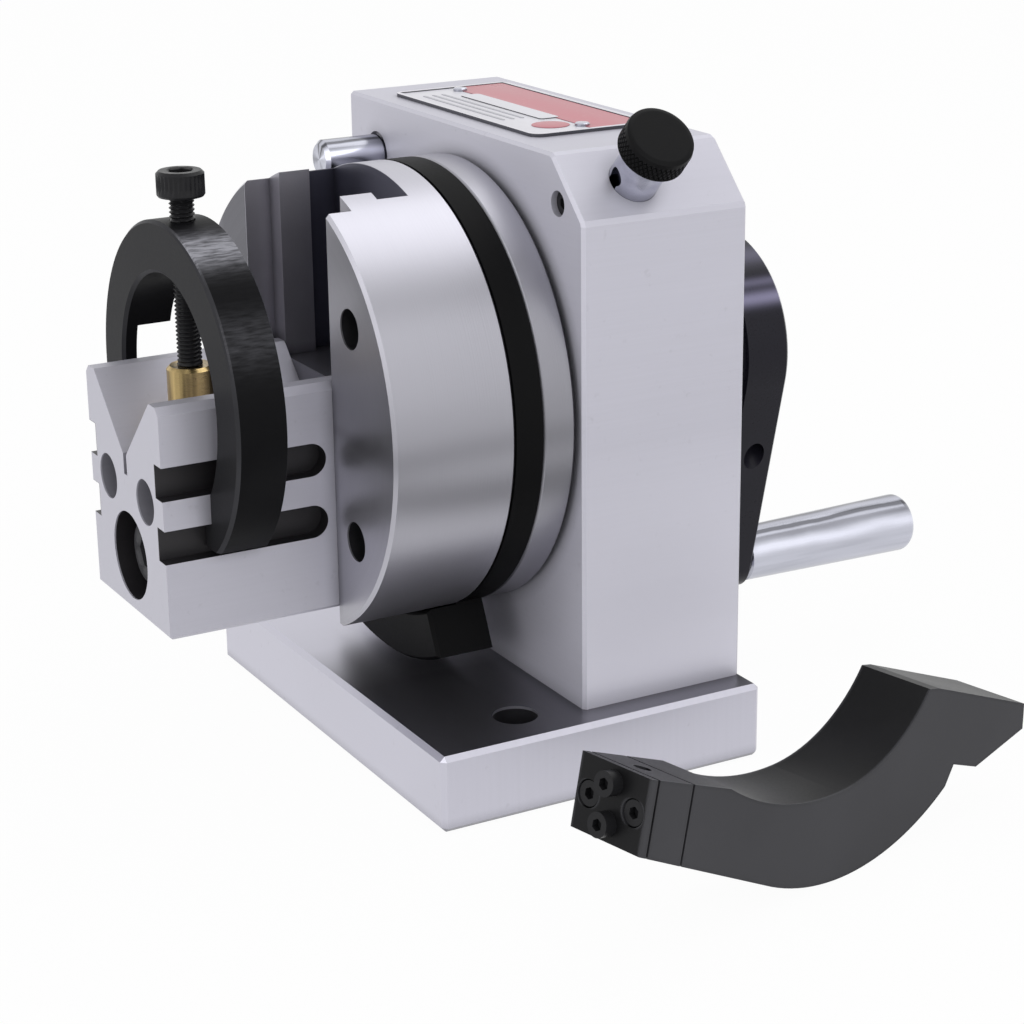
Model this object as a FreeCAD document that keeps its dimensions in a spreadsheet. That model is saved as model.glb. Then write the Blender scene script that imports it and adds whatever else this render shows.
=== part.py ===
import FreeCAD, Part
import math
import os
import Sketcher

# Punch former: a vee block with a strap clamp on a turning faceplate, carried by an upright on a
# base plate, with a crank, an index plunger and a loose dresser arm.
# Millimetres. X runs along the spindle towards the crank, Z is up, and the origin is the middle
# of the base's underside.

V = FreeCAD.Vector
doc = FreeCAD.newDocument("PunchFormer")

SIZES = {
    # base plate
    "base_width": 88.0,
    "base_length": 128.0,
    "base_height": 19.0,
    "base_chamfer": 1.2,
    "mount_spacing": 100.0,
    "mount_setback": 27.0,
    "mount_bore": 3.3,
    "mount_counterbore": 5.5,
    "mount_counterbore_depth": 6.8,
    # upright
    "column_thickness": 44.5,
    "column_length": 119.5,
    "column_height": 132.0,
    "column_far_margin": 0.5,
    "column_rear_margin": 1.0,
    "corner_chamfer": 14.0,
    "edge_chamfer": 0.8,
    "front_wall": 12.0,
    "cavity_radius": 34.0,
    # fits between pieces
    "running_clearance": 0.05,
    "seat_clearance": 0.03,
    "face_clearance": 0.15,
    # spindle and what turns with it
    "spindle_rise": 70.0,
    "front_journal_radius": 16.0,
    "rear_journal_radius": 13.0,
    "bush_wall": 4.0,
    "bush_flange_radius": 24.0,
    "flange_gap": 1.2,
    "faceplate_radius": 55.0,
    "flange_thickness": 8.8,
    "spigot_radius": 15.0,
    "spigot_depth": 6.0,
    "turned_chamfer": 0.8,
    "stop_ring_thickness": 7.0,
    "lobe_radius": 67.5,
    "lobe_half_angle": 25.5,
    "lobe_length": 15.0,
    "lobe_lip_gap": 0.4,
    "faceplate_thickness": 31.0,
    "recess_depth": 6.5,
    "neck_half_width": 17.0,
    "neck_depth": 8.0,
    "tee_half_width": 20.0,
    "tee_depth": 8.0,
    "face_screw_offset": 33.5,
    "face_screw_rise": 25.4,
    "face_screw_radius": 2.5,
    "face_screw_head_radius": 4.25,
    "face_screw_head_height": 5.0,
    "face_counterbore_radius": 4.75,
    "face_counterbore_depth": 20.0,
    "wheel_radius": 32.0,
    "wheel_thickness": 10.0,
    "index_count": 24.0,
    "index_hole_depth": 6.5,
    "key_size": 4.0,
    # rear cover and crank
    "cover_radius": 44.0,
    "cover_thickness": 6.0,
    "cover_spigot": 12.0,
    "cover_boss_radius": 22.0,
    "cover_boss_length": 4.0,
    "cover_screw_circle": 39.0,
    "cover_screw_radius": 2.0,
    "cover_screw_head_radius": 3.5,
    "cover_screw_head_height": 4.0,
    "cover_screw_length": 14.0,
    "nut_radius": 18.0,
    "nut_thickness": 4.5,
    "crank_seat_radius": 10.0,
    "crank_boss_radius": 26.5,
    "crank_boss_length": 6.0,
    "crank_thickness": 12.4,
    "crank_hub_radius": 27.9,
    "crank_tip_radius": 8.0,
    "crank_throw": 60.5,
    "crank_turn": 5.0,
    "crank_edge": 0.8,
    "handle_length": 55.0,
    "handle_root_radius": 7.2,
    "handle_end_radius": 7.9,
    "handle_end_round": 2.5,
    "handle_recess_radius": 5.2,
    "handle_recess_depth": 5.0,
    "handle_bolt_radius": 3.0,
    "handle_bolt_head_radius": 5.0,
    "handle_bolt_head_height": 4.6,
    "handle_bolt_grip": 5.9,
    "set_screw_length": 14.0,
    "set_screw_socket": 1.5,
    "nut_notch_depth": 3.0,
    "nut_notch_width": 4.0,
    # stop pin
    "stop_pin_radius": 5.0,
    "stop_pin_gap": 0.3,
    "stop_pin_reach": 16.5,
    "stop_pin_shank_radius": 4.0,
    "stop_pin_seat": 24.0,
    "stop_pin_chamfer": 1.0,
    "stop_pin_relief": 0.7,
    # index plunger
    "plunger_setback": 17.5,
    "plunger_radius": 5.9,
    "plunger_show": 9.8,
    "plunger_stud_radius": 5.0,
    "plunger_stud_length": 6.0,
    "plunger_body": 26.0,
    "plunger_tip_radius": 2.5,
    "plunger_travel": 8.0,
    "plunger_cross_hole": 2.2,
    "plunger_cross_rise": 2.6,
    "knob_radius": 8.3,
    "knob_length": 8.4,
    "knob_edge": 1.2,
    "dog_depth": 5.9,
    "dog_screw_radius": 3.0,
    "dog_radius": 1.6,
    # vee block
    "block_half_width": 23.0,
    "block_length": 43.0,
    "block_height": 55.5,
    "block_rise": 25.0,
    "block_chamfer": 1.8,
    "vee_depth": 17.5,
    "vee_relief_half_width": 1.0,
    "vee_relief_depth": 4.0,
    "side_slot_height": 8.0,
    "side_slot_depth": 4.0,
    "side_slot_land": 2.1,
    "upper_slot_drop": 17.9,
    "lower_slot_drop": 33.0,
    "block_screw_offset": 11.8,
    "block_screw_drop": 25.0,
    "block_counterbore_radius": 5.5,
    "block_counterbore_depth": 30.0,
    "block_screw_radius": 3.0,
    "block_screw_head_radius": 5.0,
    "block_screw_head_height": 6.0,
    "tee_bolt_drop": 41.5,
    "tee_bolt_radius": 5.0,
    "tee_bolt_head_radius": 8.0,
    "tee_bolt_head_height": 10.0,
    "tee_bolt_counterbore_radius": 10.7,
    "tee_bolt_counterbore_depth": 13.6,
    "slider_length": 49.0,
    "slider_inset": 3.0,
    # clamp bow and screw
    "bow_outer_radius": 41.0,
    "bow_inner_radius": 28.7,
    "bow_thickness": 12.0,
    "bow_centre_drop": 4.0,
    "bow_setback": 17.5,
    "bow_plate": 3.6,
    "bow_relief_rise": 10.5,
    "bow_foot_drop": 31.4,
    "bow_side_gap": 0.3,
    "lug_clearance": 0.25,
    "lug_reach": 3.5,
    "clamp_screw_radius": 3.0,
    "clamp_head_radius": 5.6,
    "clamp_head_height": 6.0,
    "clamp_screw_show": 5.5,
    "clamp_tip_radius": 2.0,
    "clamp_tip_length": 5.0,
    "pad_radius": 5.6,
    "pad_height": 14.2,
    "pad_lift": 0.4,
    # name plate
    "plate_length": 74.0,
    "plate_width": 33.0,
    "plate_thickness": 0.8,
    "plate_rim": 1.4,
    "plate_front_margin": 6.25,
    "plate_far_margin": 13.0,
    "rivet_inset": 6.0,
    "rivet_stem_radius": 1.0,
    "plate_corner": 3.0,
    "rivet_radius": 1.8,
    "rivet_height": 0.9,
    # fasteners under the upright
    "foot_screw_radius": 4.0,
    "foot_screw_head_radius": 6.5,
    "foot_screw_head_height": 8.0,
    "foot_screw_length": 24.0,
    "foot_screw_inset": 12.0,
    "foot_counterbore_radius": 7.0,
    "dowel_radius": 3.0,
    "dowel_length": 30.0,
    # dresser arm, laid in front of the base with its back on the ground
    "arm_x": -40.1,
    "arm_y": -142.5,
    "arm_z": 26.95,
    "arm_heading": 13.1,
    "arm_dip": 12.6,
    "arm_width": 20.0,
    "arm_end_height": 16.5,
    "arm_back_x": 41.8,
    "arm_back_drop": 11.0,
    "arm_back_radius": 58.0,
    "arm_heel_x": 100.7,
    "arm_heel_z": 5.9,
    "arm_foot_root_x": 102.5,
    "arm_foot_root_z": 11.1,
    "arm_foot_toe_x": 111.4,
    "arm_foot_toe_z": 9.8,
    "arm_foot_tip_x": 127.4,
    "arm_foot_tip_z": 17.9,
    "arm_foot_end_x": 126.2,
    "arm_foot_end_z": 24.1,
    "arm_shoulder_x": 88.4,
    "arm_shoulder_z": 30.5,
    "arm_inner_radius": 37.0,
    "arm_low_x": 62.1,
    "arm_low_z": 8.1,
    "arm_bend_radius": 57.0,
    "arm_bend_x": 25.3,
    "arm_bend_z": 12.2,
    "end_plate_thickness": 2.2,
    "tool_block_end": 13.7,
    "joint_groove": 0.6,
    "joint_land_inset": 1.2,
    "arm_screw_radius": 1.5,
    "arm_screw_head_radius": 2.75,
    "arm_screw_head_height": 3.0,
    "arm_screw_spread": 6.5,
    "tool_screw_spread": 4.4,
    "tool_bore_radius": 2.0,
}

sheet = doc.addObject("Spreadsheet::Sheet", "Sizes")
for row, (alias, number) in enumerate(SIZES.items(), start=1):
    sheet.set(f"A{row}", alias.replace("_", " "))
    sheet.set(f"B{row}", str(number))
    sheet.setAlias(f"B{row}", alias)
doc.recompute()


class Size:
    """A length that knows its number and the sheet expression that it comes from."""

    def __init__(self, value, text):
        self.value = value
        self.text = text

    def __add__(self, other):
        other = size(other)
        return Size(self.value + other.value, f"({self.text} + {other.text})")

    def __sub__(self, other):
        other = size(other)
        return Size(self.value - other.value, f"({self.text} - {other.text})")

    def __mul__(self, other):
        other = size(other)
        return Size(self.value * other.value, f"({self.text} * {other.text})")

    def __truediv__(self, other):
        other = size(other)
        return Size(self.value / other.value, f"({self.text} / {other.text})")

    def __radd__(self, other):
        return size(other) + self

    def __rsub__(self, other):
        return size(other) - self

    def __rmul__(self, other):
        return size(other) * self

    def __neg__(self):
        return Size(-self.value, f"(-1 * {self.text})")


def size(number):
    """A plain number written as a size, or the size itself."""
    if isinstance(number, Size):
        return number
    return Size(float(number), f"({number:.6f})")


def root(area):
    return Size(math.sqrt(area.value), f"sqrt({area.text})")


def cosine(angle):
    return Size(math.cos(math.radians(angle.value)), f"cos({angle.text} * 1 deg)")


def sine(angle):
    return Size(math.sin(math.radians(angle.value)), f"sin({angle.text} * 1 deg)")


class Cells:
    """Each named size of the sheet, read as an attribute."""

    def __getattr__(self, alias):
        return Size(SIZES[alias], f"Sizes.{alias}")


s = Cells()


# Helpers that bind properties, sketches and features to the sheet

def bind(thing, prop, length):
    thing.setExpression(prop, size(length).text)


def place(thing, x=0, y=0, z=0, turn=None):
    """Set a placement whose position follows the sheet."""
    spots = [size(x), size(y), size(z)]
    thing.Placement = FreeCAD.Placement(V(*[spot.value for spot in spots]), turn or FreeCAD.Rotation())
    for letter, spot in zip("xyz", spots):
        bind(thing, f"Placement.Base.{letter}", spot)
    return thing


ALONG_X = FreeCAD.Rotation(V(0, 1, 0), 90)
UP = FreeCAD.Rotation()


def pointing(direction):
    """The turn that takes +Z to a direction."""
    return FreeCAD.Rotation(V(0, 0, 1), V(*direction))


def new_body(label):
    body = doc.addObject("PartDesign::Body", label)
    body.Label = label
    return body


def new_sketch(body, plane, offset=0):
    sketch = body.newObject("Sketcher::SketchObject", f"{body.Name}_sketch")
    support = [item for item in body.Origin.OriginFeatures if item.Role == plane][0]
    sketch.AttachmentSupport = (support, [""])
    sketch.MapMode = "FlatFace"
    offset = size(offset)
    sketch.AttachmentOffset = FreeCAD.Placement(V(0, 0, offset.value), FreeCAD.Rotation())
    bind(sketch, "AttachmentOffset.Base.z", offset)
    return sketch


def hold(sketch, geometry, point, x, y):
    """Fix one point of a sketch at a place given by two sizes."""
    for kind, axis, number in (("DistanceX", -2, x), ("DistanceY", -1, y)):
        if not isinstance(number, Size) and number == 0:
            sketch.addConstraint(Sketcher.Constraint("PointOnObject", geometry, point, axis))
            continue
        number = size(number)
        index = sketch.addConstraint(Sketcher.Constraint(kind, -1, 1, geometry, point, number.value))
        sketch.setExpression(f"Constraints[{index}]", number.text)


def set_radius(sketch, geometry, radius):
    index = sketch.addConstraint(Sketcher.Constraint("Radius", geometry, size(radius).value))
    sketch.setExpression(f"Constraints[{index}]", size(radius).text)


def outline(sketch, points, arcs=None):
    """A closed outline. arcs maps the index of a stretch to its radius, its middle and its sense."""
    arcs = arcs or {}
    spots = [(size(x).value, size(y).value) for x, y in points]
    first = sketch.GeometryCount
    count = len(points)
    ends = []
    for i in range(count):
        a, b = spots[i], spots[(i + 1) % count]
        if i in arcs:
            radius, middle, anticlockwise = arcs[i]
            cx, cy = [size(number).value for number in middle]
            start, end = (a, b) if anticlockwise else (b, a)
            begin = math.atan2(start[1] - cy, start[0] - cx)
            finish = math.atan2(end[1] - cy, end[0] - cx)
            circle = Part.Circle(V(cx, cy, 0), V(0, 0, 1), size(radius).value)
            sketch.addGeometry(Part.ArcOfCircle(circle, begin, finish))
            ends.append((1, 2) if anticlockwise else (2, 1))
        else:
            sketch.addGeometry(Part.LineSegment(V(*a, 0), V(*b, 0)))
            ends.append((1, 2))
    for i in range(count):
        following = (i + 1) % count
        sketch.addConstraint(Sketcher.Constraint(
            "Coincident", first + i, ends[i][1], first + following, ends[following][0]))
    for i in range(count):
        hold(sketch, first + i, ends[i][0], *points[i])
    for i, (radius, middle, anticlockwise) in arcs.items():
        a, b = spots[i], spots[(i + 1) % count]
        if abs(math.dist(a, b) - 2 * size(radius).value) > 1e-6:
            set_radius(sketch, first + i, radius)
            continue
        # a half circle whose ends stand one above the other: its centre's place sets it
        number = size(middle[0])
        index = sketch.addConstraint(Sketcher.Constraint("DistanceX", -1, 1, first + i, 3, number.value))
        sketch.setExpression(f"Constraints[{index}]", number.text)
    return sketch


def rectangle(sketch, x0, y0, x1, y1):
    return outline(sketch, [(x0, y0), (x1, y0), (x1, y1), (x0, y1)])


def circle(sketch, x, y, radius):
    place_of = V(size(x).value, size(y).value, 0)
    index = sketch.addGeometry(Part.Circle(place_of, V(0, 0, 1), size(radius).value))
    hold(sketch, index, 3, x, y)
    set_radius(sketch, index, radius)
    return sketch


def pad(body, sketch, length, both_ways=False, backwards=False):
    feature = body.newObject("PartDesign::Pad", f"{body.Name}_pad")
    feature.Profile = sketch
    feature.Midplane = both_ways
    feature.Reversed = backwards
    bind(feature, "Length", length)
    doc.recompute()
    return feature


def pocket(body, sketch, length, both_ways=False, forwards=False):
    """Cut along the sketch's back, or its front, and make sure that something was cut."""
    before = body.Shape.Volume
    feature = body.newObject("PartDesign::Pocket", f"{body.Name}_pocket")
    feature.Profile = sketch
    feature.Midplane = both_ways
    feature.Reversed = forwards
    bind(feature, "Length", length)
    doc.recompute()
    if body.Shape.Volume >= before - 1e-6:
        states = [(item.Name, item.getStatusString()) for item in body.Group if "Invalid" in item.State]
        raise RuntimeError(f"{feature.Name} cut nothing from {body.Label}: {states}")
    return feature


def revolve(body, sketch):
    """A solid of revolution about the body's own X axis."""
    feature = body.newObject("PartDesign::Revolution", f"{body.Name}_revolution")
    feature.Profile = sketch
    feature.ReferenceAxis = (sketch, ["H_Axis"])
    feature.Angle = 360.0
    doc.recompute()
    return feature


def turned(label, profile):
    """A turned piece: the half section is given as places along X and radii."""
    body = new_body(label)
    revolve(body, outline(new_sketch(body, "XZ_Plane"), profile))
    return body


def edge_names(shape, test):
    return [f"Edge{i}" for i, edge in enumerate(shape.Edges, start=1) if test(edge)]


def bevel(body, length, test, kind="Chamfer"):
    """Chamfer or round the edges of a body that pass a test."""
    base = body.Tip
    feature = body.newObject(f"PartDesign::{kind}", f"{body.Name}_{kind.lower()}")
    feature.Base = (base, edge_names(base.Shape, test))
    bind(feature, "Size" if kind == "Chamfer" else "Radius", length)
    doc.recompute()
    return feature


def straight(edge, axis):
    """True for a straight edge that lies along one axis, 0 for X, 1 for Y and 2 for Z."""
    if not isinstance(edge.Curve, Part.Line):
        return False
    return abs(abs(edge.Curve.Direction[axis]) - 1) < 1e-6


def primitive(kind, **sizes):
    thing = doc.addObject(f"Part::{kind}", kind)
    for prop, length in sizes.items():
        bind(thing, prop, length)
    return thing


def cylinder(radius, height, x=0, y=0, z=0, turn=ALONG_X):
    return place(primitive("Cylinder", Radius=radius, Height=height), x, y, z, turn)


def box(length, width, height, x=0, y=0, z=0, turn=UP):
    return place(primitive("Box", Length=length, Width=width, Height=height), x, y, z, turn)


def fuse(things, label=None):
    thing = doc.addObject("Part::MultiFuse", label or "Fusion")
    thing.Shapes = things
    thing.Refine = True
    if label:
        thing.Label = label
    return thing


def cut(base, tools, label=None):
    thing = doc.addObject("Part::Cut", label or "Cut")
    thing.Base = base
    thing.Tool = tools[0] if len(tools) == 1 else fuse(tools)
    thing.Refine = True
    if label:
        thing.Label = label
    return thing


def group(things, label):
    """Like pieces that stay separate solids in one node."""
    thing = doc.addObject("Part::Compound", label)
    thing.Label = label
    thing.Links = things
    return thing


def socket_screw(radius, length, head_radius, head_height, x, y, z, turn):
    """A cap screw with a hexagon socket; its head's underside is at the place given."""
    shank = cylinder(radius, length, 0, 0, -length, UP)
    head = cylinder(head_radius, head_height, 0, 0, 0, UP)
    socket = primitive("Prism", Circumradius=head_radius * 0.5, Height=head_height)
    socket.Polygon = 6
    place(socket, 0, 0, head_height * 0.45)
    screw = cut(fuse([shank, head]), [socket])
    return place(screw, x, y, z, turn)


# Places that several pieces share

spindle_z = s.base_height + s.spindle_rise
base_front = -s.base_width / 2
column_rear = s.base_width / 2 - s.column_rear_margin
column_front = column_rear - s.column_thickness
column_far = s.base_length / 2 - s.column_far_margin
column_near = column_far - s.column_length
column_top = s.base_height + s.column_height
cavity_front = column_front + s.front_wall
flange_rear = column_front - s.flange_gap
flange_front = flange_rear - s.flange_thickness
faceplate_rear = flange_front - s.stop_ring_thickness
faceplate_front = faceplate_rear - s.faceplate_thickness
wheel_front = cavity_front + s.face_clearance * 3
cover_rear = column_rear + s.cover_thickness + s.cover_boss_length
nut_front = cover_rear + s.face_clearance
crank_boss_front = nut_front + s.nut_thickness
crank_front = crank_boss_front + s.crank_boss_length
crank_rear = crank_front + s.crank_thickness
block_rear = faceplate_front
block_front = block_rear - s.block_length
block_bottom = s.base_height + s.block_rise
block_top = block_bottom + s.block_height
slot_half = s.block_half_width + s.running_clearance
recess_floor = faceplate_front + s.recess_depth
neck_end = recess_floor + s.neck_depth
tee_floor = neck_end + s.tee_depth
bush_radius_front = s.front_journal_radius + s.bush_wall
bush_radius_rear = s.rear_journal_radius + s.bush_wall
pin_offset = (s.lobe_radius + s.stop_pin_gap) * math.sqrt(0.5)
FACE_SCREWS = [(a, b) for a in (-1, 1) for b in (-1, 1)]


def make_base():
    """Ground base plate with counterbored holes for fixing it down and for the upright's screws."""
    body = new_body("base_plate")
    half_width, half_length = s.base_width / 2, s.base_length / 2
    pad(body, rectangle(new_sketch(body, "XY_Plane"), -half_width, -half_length, half_width, half_length),
        s.base_height)
    bevel(body, s.base_chamfer, lambda edge: isinstance(edge.Curve, Part.Line))
    top = new_sketch(body, "XY_Plane", s.base_height)
    through = new_sketch(body, "XY_Plane", s.base_height)
    for side in (-1, 1):
        circle(top, base_front + s.mount_setback, side * s.mount_spacing / 2, s.mount_counterbore)
        circle(through, base_front + s.mount_setback, side * s.mount_spacing / 2, s.mount_bore)
    pocket(body, top, s.mount_counterbore_depth)
    pocket(body, through, s.base_height)
    sunk = new_sketch(body, "XY_Plane")
    bores = new_sketch(body, "XY_Plane")
    for x, y in foot_screw_places():
        circle(sunk, x, y, s.foot_counterbore_radius)
        circle(bores, x, y, s.foot_screw_radius + s.seat_clearance)
    for x, y in dowel_places():
        circle(bores, x, y, s.dowel_radius + s.seat_clearance)
    pocket(body, sunk, s.foot_screw_head_height + 1, forwards=True)
    pocket(body, bores, s.base_height, forwards=True)


def foot_screw_places():
    inset = s.foot_screw_inset
    return [(x, y) for x in (column_front + inset, column_rear - inset)
            for y in (column_near + inset, column_far - inset)]


def dowel_places():
    middle = (column_front + column_rear) / 2
    return [(middle, column_near + s.foot_screw_inset), (middle, column_far - s.foot_screw_inset)]


# The plunger slides square to the chamfer on the upright's near top corner.
INWARD = (0, 1, -1)
OUTWARD = (0, -1, 1)
plunger_x = column_front + s.plunger_setback
chamfer_y = column_near + s.corner_chamfer / 2
chamfer_z = column_top - s.corner_chamfer / 2
ROOT_HALF = math.sqrt(0.5)
plunger_offset = (chamfer_y + chamfer_z - spindle_z) * ROOT_HALF
chamfer_distance = (chamfer_z - spindle_z - chamfer_y) * ROOT_HALF
wheel_depth = chamfer_distance - root(s.wheel_radius * s.wheel_radius - plunger_offset * plunger_offset)
tip_rest_depth = wheel_depth - 1.5
cavity_depth = chamfer_distance - root(s.cavity_radius * s.cavity_radius - plunger_offset * plunger_offset)


def along_plunger(depth):
    """The place at a depth below the chamfer, on the plunger's axis."""
    return plunger_x, chamfer_y + depth * ROOT_HALF, chamfer_z - depth * ROOT_HALF


def make_column():
    """Upright with a front bearing wall, a cavity for the index wheel and one cut corner."""
    body = new_body("column_blank")
    front = new_sketch(body, "YZ_Plane", column_front)
    outline(front, [(column_near, s.base_height), (column_far, s.base_height), (column_far, column_top),
                    (column_near + s.corner_chamfer, column_top),
                    (column_near, column_top - s.corner_chamfer)])
    pad(body, front, s.column_thickness)
    bevel(body, s.edge_chamfer, lambda edge: edge.CenterOfMass.z > s.base_height.value + 1)
    bore = circle(new_sketch(body, "YZ_Plane", column_front), 0, spindle_z,
                  bush_radius_front + s.seat_clearance)
    pocket(body, bore, s.column_thickness, forwards=True)
    cavity = circle(new_sketch(body, "YZ_Plane", column_rear), 0, spindle_z, s.cavity_radius)
    pocket(body, cavity, s.column_thickness - s.front_wall)
    taps = new_sketch(body, "YZ_Plane", column_rear)
    for y, z in cover_screw_places():
        circle(taps, y, z, s.cover_screw_radius + s.seat_clearance)
    pocket(body, taps, s.cover_screw_length)
    seat = circle(new_sketch(body, "YZ_Plane", column_front), pin_offset, spindle_z + pin_offset,
                  s.stop_pin_shank_radius + s.seat_clearance)
    pocket(body, seat, s.stop_pin_seat, forwards=True)
    relief = circle(new_sketch(body, "YZ_Plane", column_front), pin_offset, spindle_z + pin_offset,
                    s.stop_pin_radius + s.stop_pin_relief)
    pocket(body, relief, s.stop_pin_relief * 2, forwards=True)
    feet = new_sketch(body, "XY_Plane", s.base_height)
    for x, y in foot_screw_places():
        circle(feet, x, y, s.foot_screw_radius + s.seat_clearance)
    for x, y in dowel_places():
        circle(feet, x, y, s.dowel_radius + s.seat_clearance)
    pocket(body, feet, s.foot_screw_length - 4, forwards=True)
    wide = cylinder(s.plunger_radius + s.running_clearance, s.plunger_body + s.plunger_travel + 3,
                    *along_plunger(s.plunger_body + s.plunger_travel + 2), pointing(OUTWARD))
    narrow = cylinder(s.plunger_tip_radius + s.running_clearance, cavity_depth + 2,
                      *along_plunger(cavity_depth + 1), pointing(OUTWARD))
    dog = cylinder(s.dog_screw_radius + s.seat_clearance, s.plunger_setback, column_front,
                   *along_plunger(s.dog_depth)[1:])
    cut(body, [wide, narrow, dog], "column")


def cover_screw_places():
    reach = s.cover_screw_circle * ROOT_HALF
    return [(a * reach, spindle_z + b * reach) for a, b in FACE_SCREWS]


def make_bearings():
    """Flanged front bush, rear bush and the cover that carries it, with its screws."""
    inner = s.front_journal_radius + s.running_clearance
    start = flange_rear + s.face_clearance
    end = cavity_front - s.face_clearance
    front = turned("front_bush", [
        (start, inner), (end, inner), (end, bush_radius_front),
        (column_front - s.seat_clearance, bush_radius_front),
        (column_front - s.seat_clearance, s.bush_flange_radius), (start, s.bush_flange_radius)])
    place(front, z=spindle_z)
    start = column_rear - s.cover_spigot
    bore = bush_radius_rear + s.seat_clearance
    spigot = s.cavity_radius - s.seat_clearance
    cover = turned("cover_blank", [
        (start, bore), (cover_rear, bore), (cover_rear, s.cover_boss_radius),
        (column_rear + s.cover_thickness, s.cover_boss_radius),
        (column_rear + s.cover_thickness, s.cover_radius),
        (column_rear + s.seat_clearance, s.cover_radius),
        (column_rear + s.seat_clearance, spigot), (start, spigot)])
    place(cover, z=spindle_z)
    screws, holes = [], []
    for y, z in cover_screw_places():
        screws.append(socket_screw(
            s.cover_screw_radius, s.cover_screw_length - 1, s.cover_screw_head_radius,
            s.cover_screw_head_height, column_rear + s.cover_thickness, y, z, ALONG_X))
        holes.append(cylinder(s.cover_screw_radius + s.seat_clearance, s.cover_thickness + 1,
                              column_rear, y, z))
    cut(cover, holes, "rear_cover")
    group(screws, "rear_cover_screws")
    inner = s.rear_journal_radius + s.running_clearance
    rear = turned("rear_bush", [
        (start, inner), (cover_rear, inner), (cover_rear, bush_radius_rear), (start, bush_radius_rear)])
    place(rear, z=spindle_z)


def make_spindle():
    """Spindle turned in one piece: spigot, flange, front journal, wheel seat, rear journal, crank seat."""
    chamfer = s.turned_chamfer
    spigot_start = faceplate_rear - s.spigot_depth + s.face_clearance
    seat_radius = s.front_journal_radius - 1
    blank = turned("spindle_blank", [
        (spigot_start, 0), (crank_rear, 0), (crank_rear, s.crank_seat_radius),
        (nut_front, s.crank_seat_radius), (nut_front, s.rear_journal_radius),
        (wheel_front + s.wheel_thickness, s.rear_journal_radius),
        (wheel_front + s.wheel_thickness, seat_radius), (wheel_front, seat_radius),
        (wheel_front, s.front_journal_radius), (flange_rear, s.front_journal_radius),
        (flange_rear, s.faceplate_radius - chamfer), (flange_rear - chamfer, s.faceplate_radius),
        (flange_front + chamfer, s.faceplate_radius), (flange_front, s.faceplate_radius - chamfer),
        (flange_front, s.spigot_radius), (spigot_start, s.spigot_radius)])
    place(blank, z=spindle_z)
    holes = [cylinder(s.face_screw_radius + s.seat_clearance, s.flange_thickness - 0.5, flange_front,
                      a * s.face_screw_offset, spindle_z + b * s.face_screw_rise) for a, b in FACE_SCREWS]
    across, out = -s.key_size / 2, seat_radius - s.key_size / 2
    turn = FreeCAD.Rotation(V(1, 0, 0), 45)
    keyway = box(s.wheel_thickness, s.key_size, s.key_size, wheel_front, (across - out) * ROOT_HALF,
                 spindle_z + (across + out) * ROOT_HALF, turn)
    tap = cylinder(s.clamp_screw_radius + s.seat_clearance, 20, crank_rear - 20, 0, spindle_z)
    cut(blank, holes + [keyway, tap], "spindle")
    across, out = across + s.seat_clearance, out + s.seat_clearance
    key = box(s.wheel_thickness, s.key_size - s.seat_clearance * 2, s.key_size - s.seat_clearance * 2,
              wheel_front, (across - out) * ROOT_HALF, spindle_z + (across + out) * ROOT_HALF, turn)
    key.Label = "index_key"


def sector(sketch, inner, outer, half_angle):
    """A ring sector whose middle points straight down."""
    along, down = sine(half_angle), cosine(half_angle)
    points = [(-(inner * along), -(inner * down)), (-(outer * along), -(outer * down)),
              (outer * along, -(outer * down)), (inner * along, -(inner * down))]
    return outline(sketch, points, {1: (outer, (0, 0), True), 3: (inner, (0, 0), False)})


def make_stop_ring():
    """Ring between faceplate and flange, with the lobe that runs under the faceplate to the stop pin."""
    body = new_body("stop_ring")
    disc = new_sketch(body, "YZ_Plane", faceplate_rear)
    circle(disc, 0, 0, s.faceplate_radius)
    pad(body, disc, s.stop_ring_thickness)
    root_part = sector(new_sketch(body, "YZ_Plane", faceplate_rear), s.faceplate_radius - 3,
                       s.lobe_radius, s.lobe_half_angle)
    pad(body, root_part, s.stop_ring_thickness)
    lip = sector(new_sketch(body, "YZ_Plane", faceplate_rear), s.faceplate_radius + s.lobe_lip_gap,
                 s.lobe_radius, s.lobe_half_angle)
    pad(body, lip, s.lobe_length - s.stop_ring_thickness, backwards=True)
    bevel(body, s.turned_chamfer, lambda edge: edge.CenterOfMass.x < (faceplate_rear - 7).value)
    holes = new_sketch(body, "YZ_Plane", faceplate_rear)
    circle(holes, 0, 0, s.spigot_radius + s.seat_clearance)
    for a, b in FACE_SCREWS:
        circle(holes, a * s.face_screw_offset, b * s.face_screw_rise, s.face_screw_radius + s.seat_clearance)
    pocket(body, holes, s.stop_ring_thickness, forwards=True)
    place(body, z=spindle_z)


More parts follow.
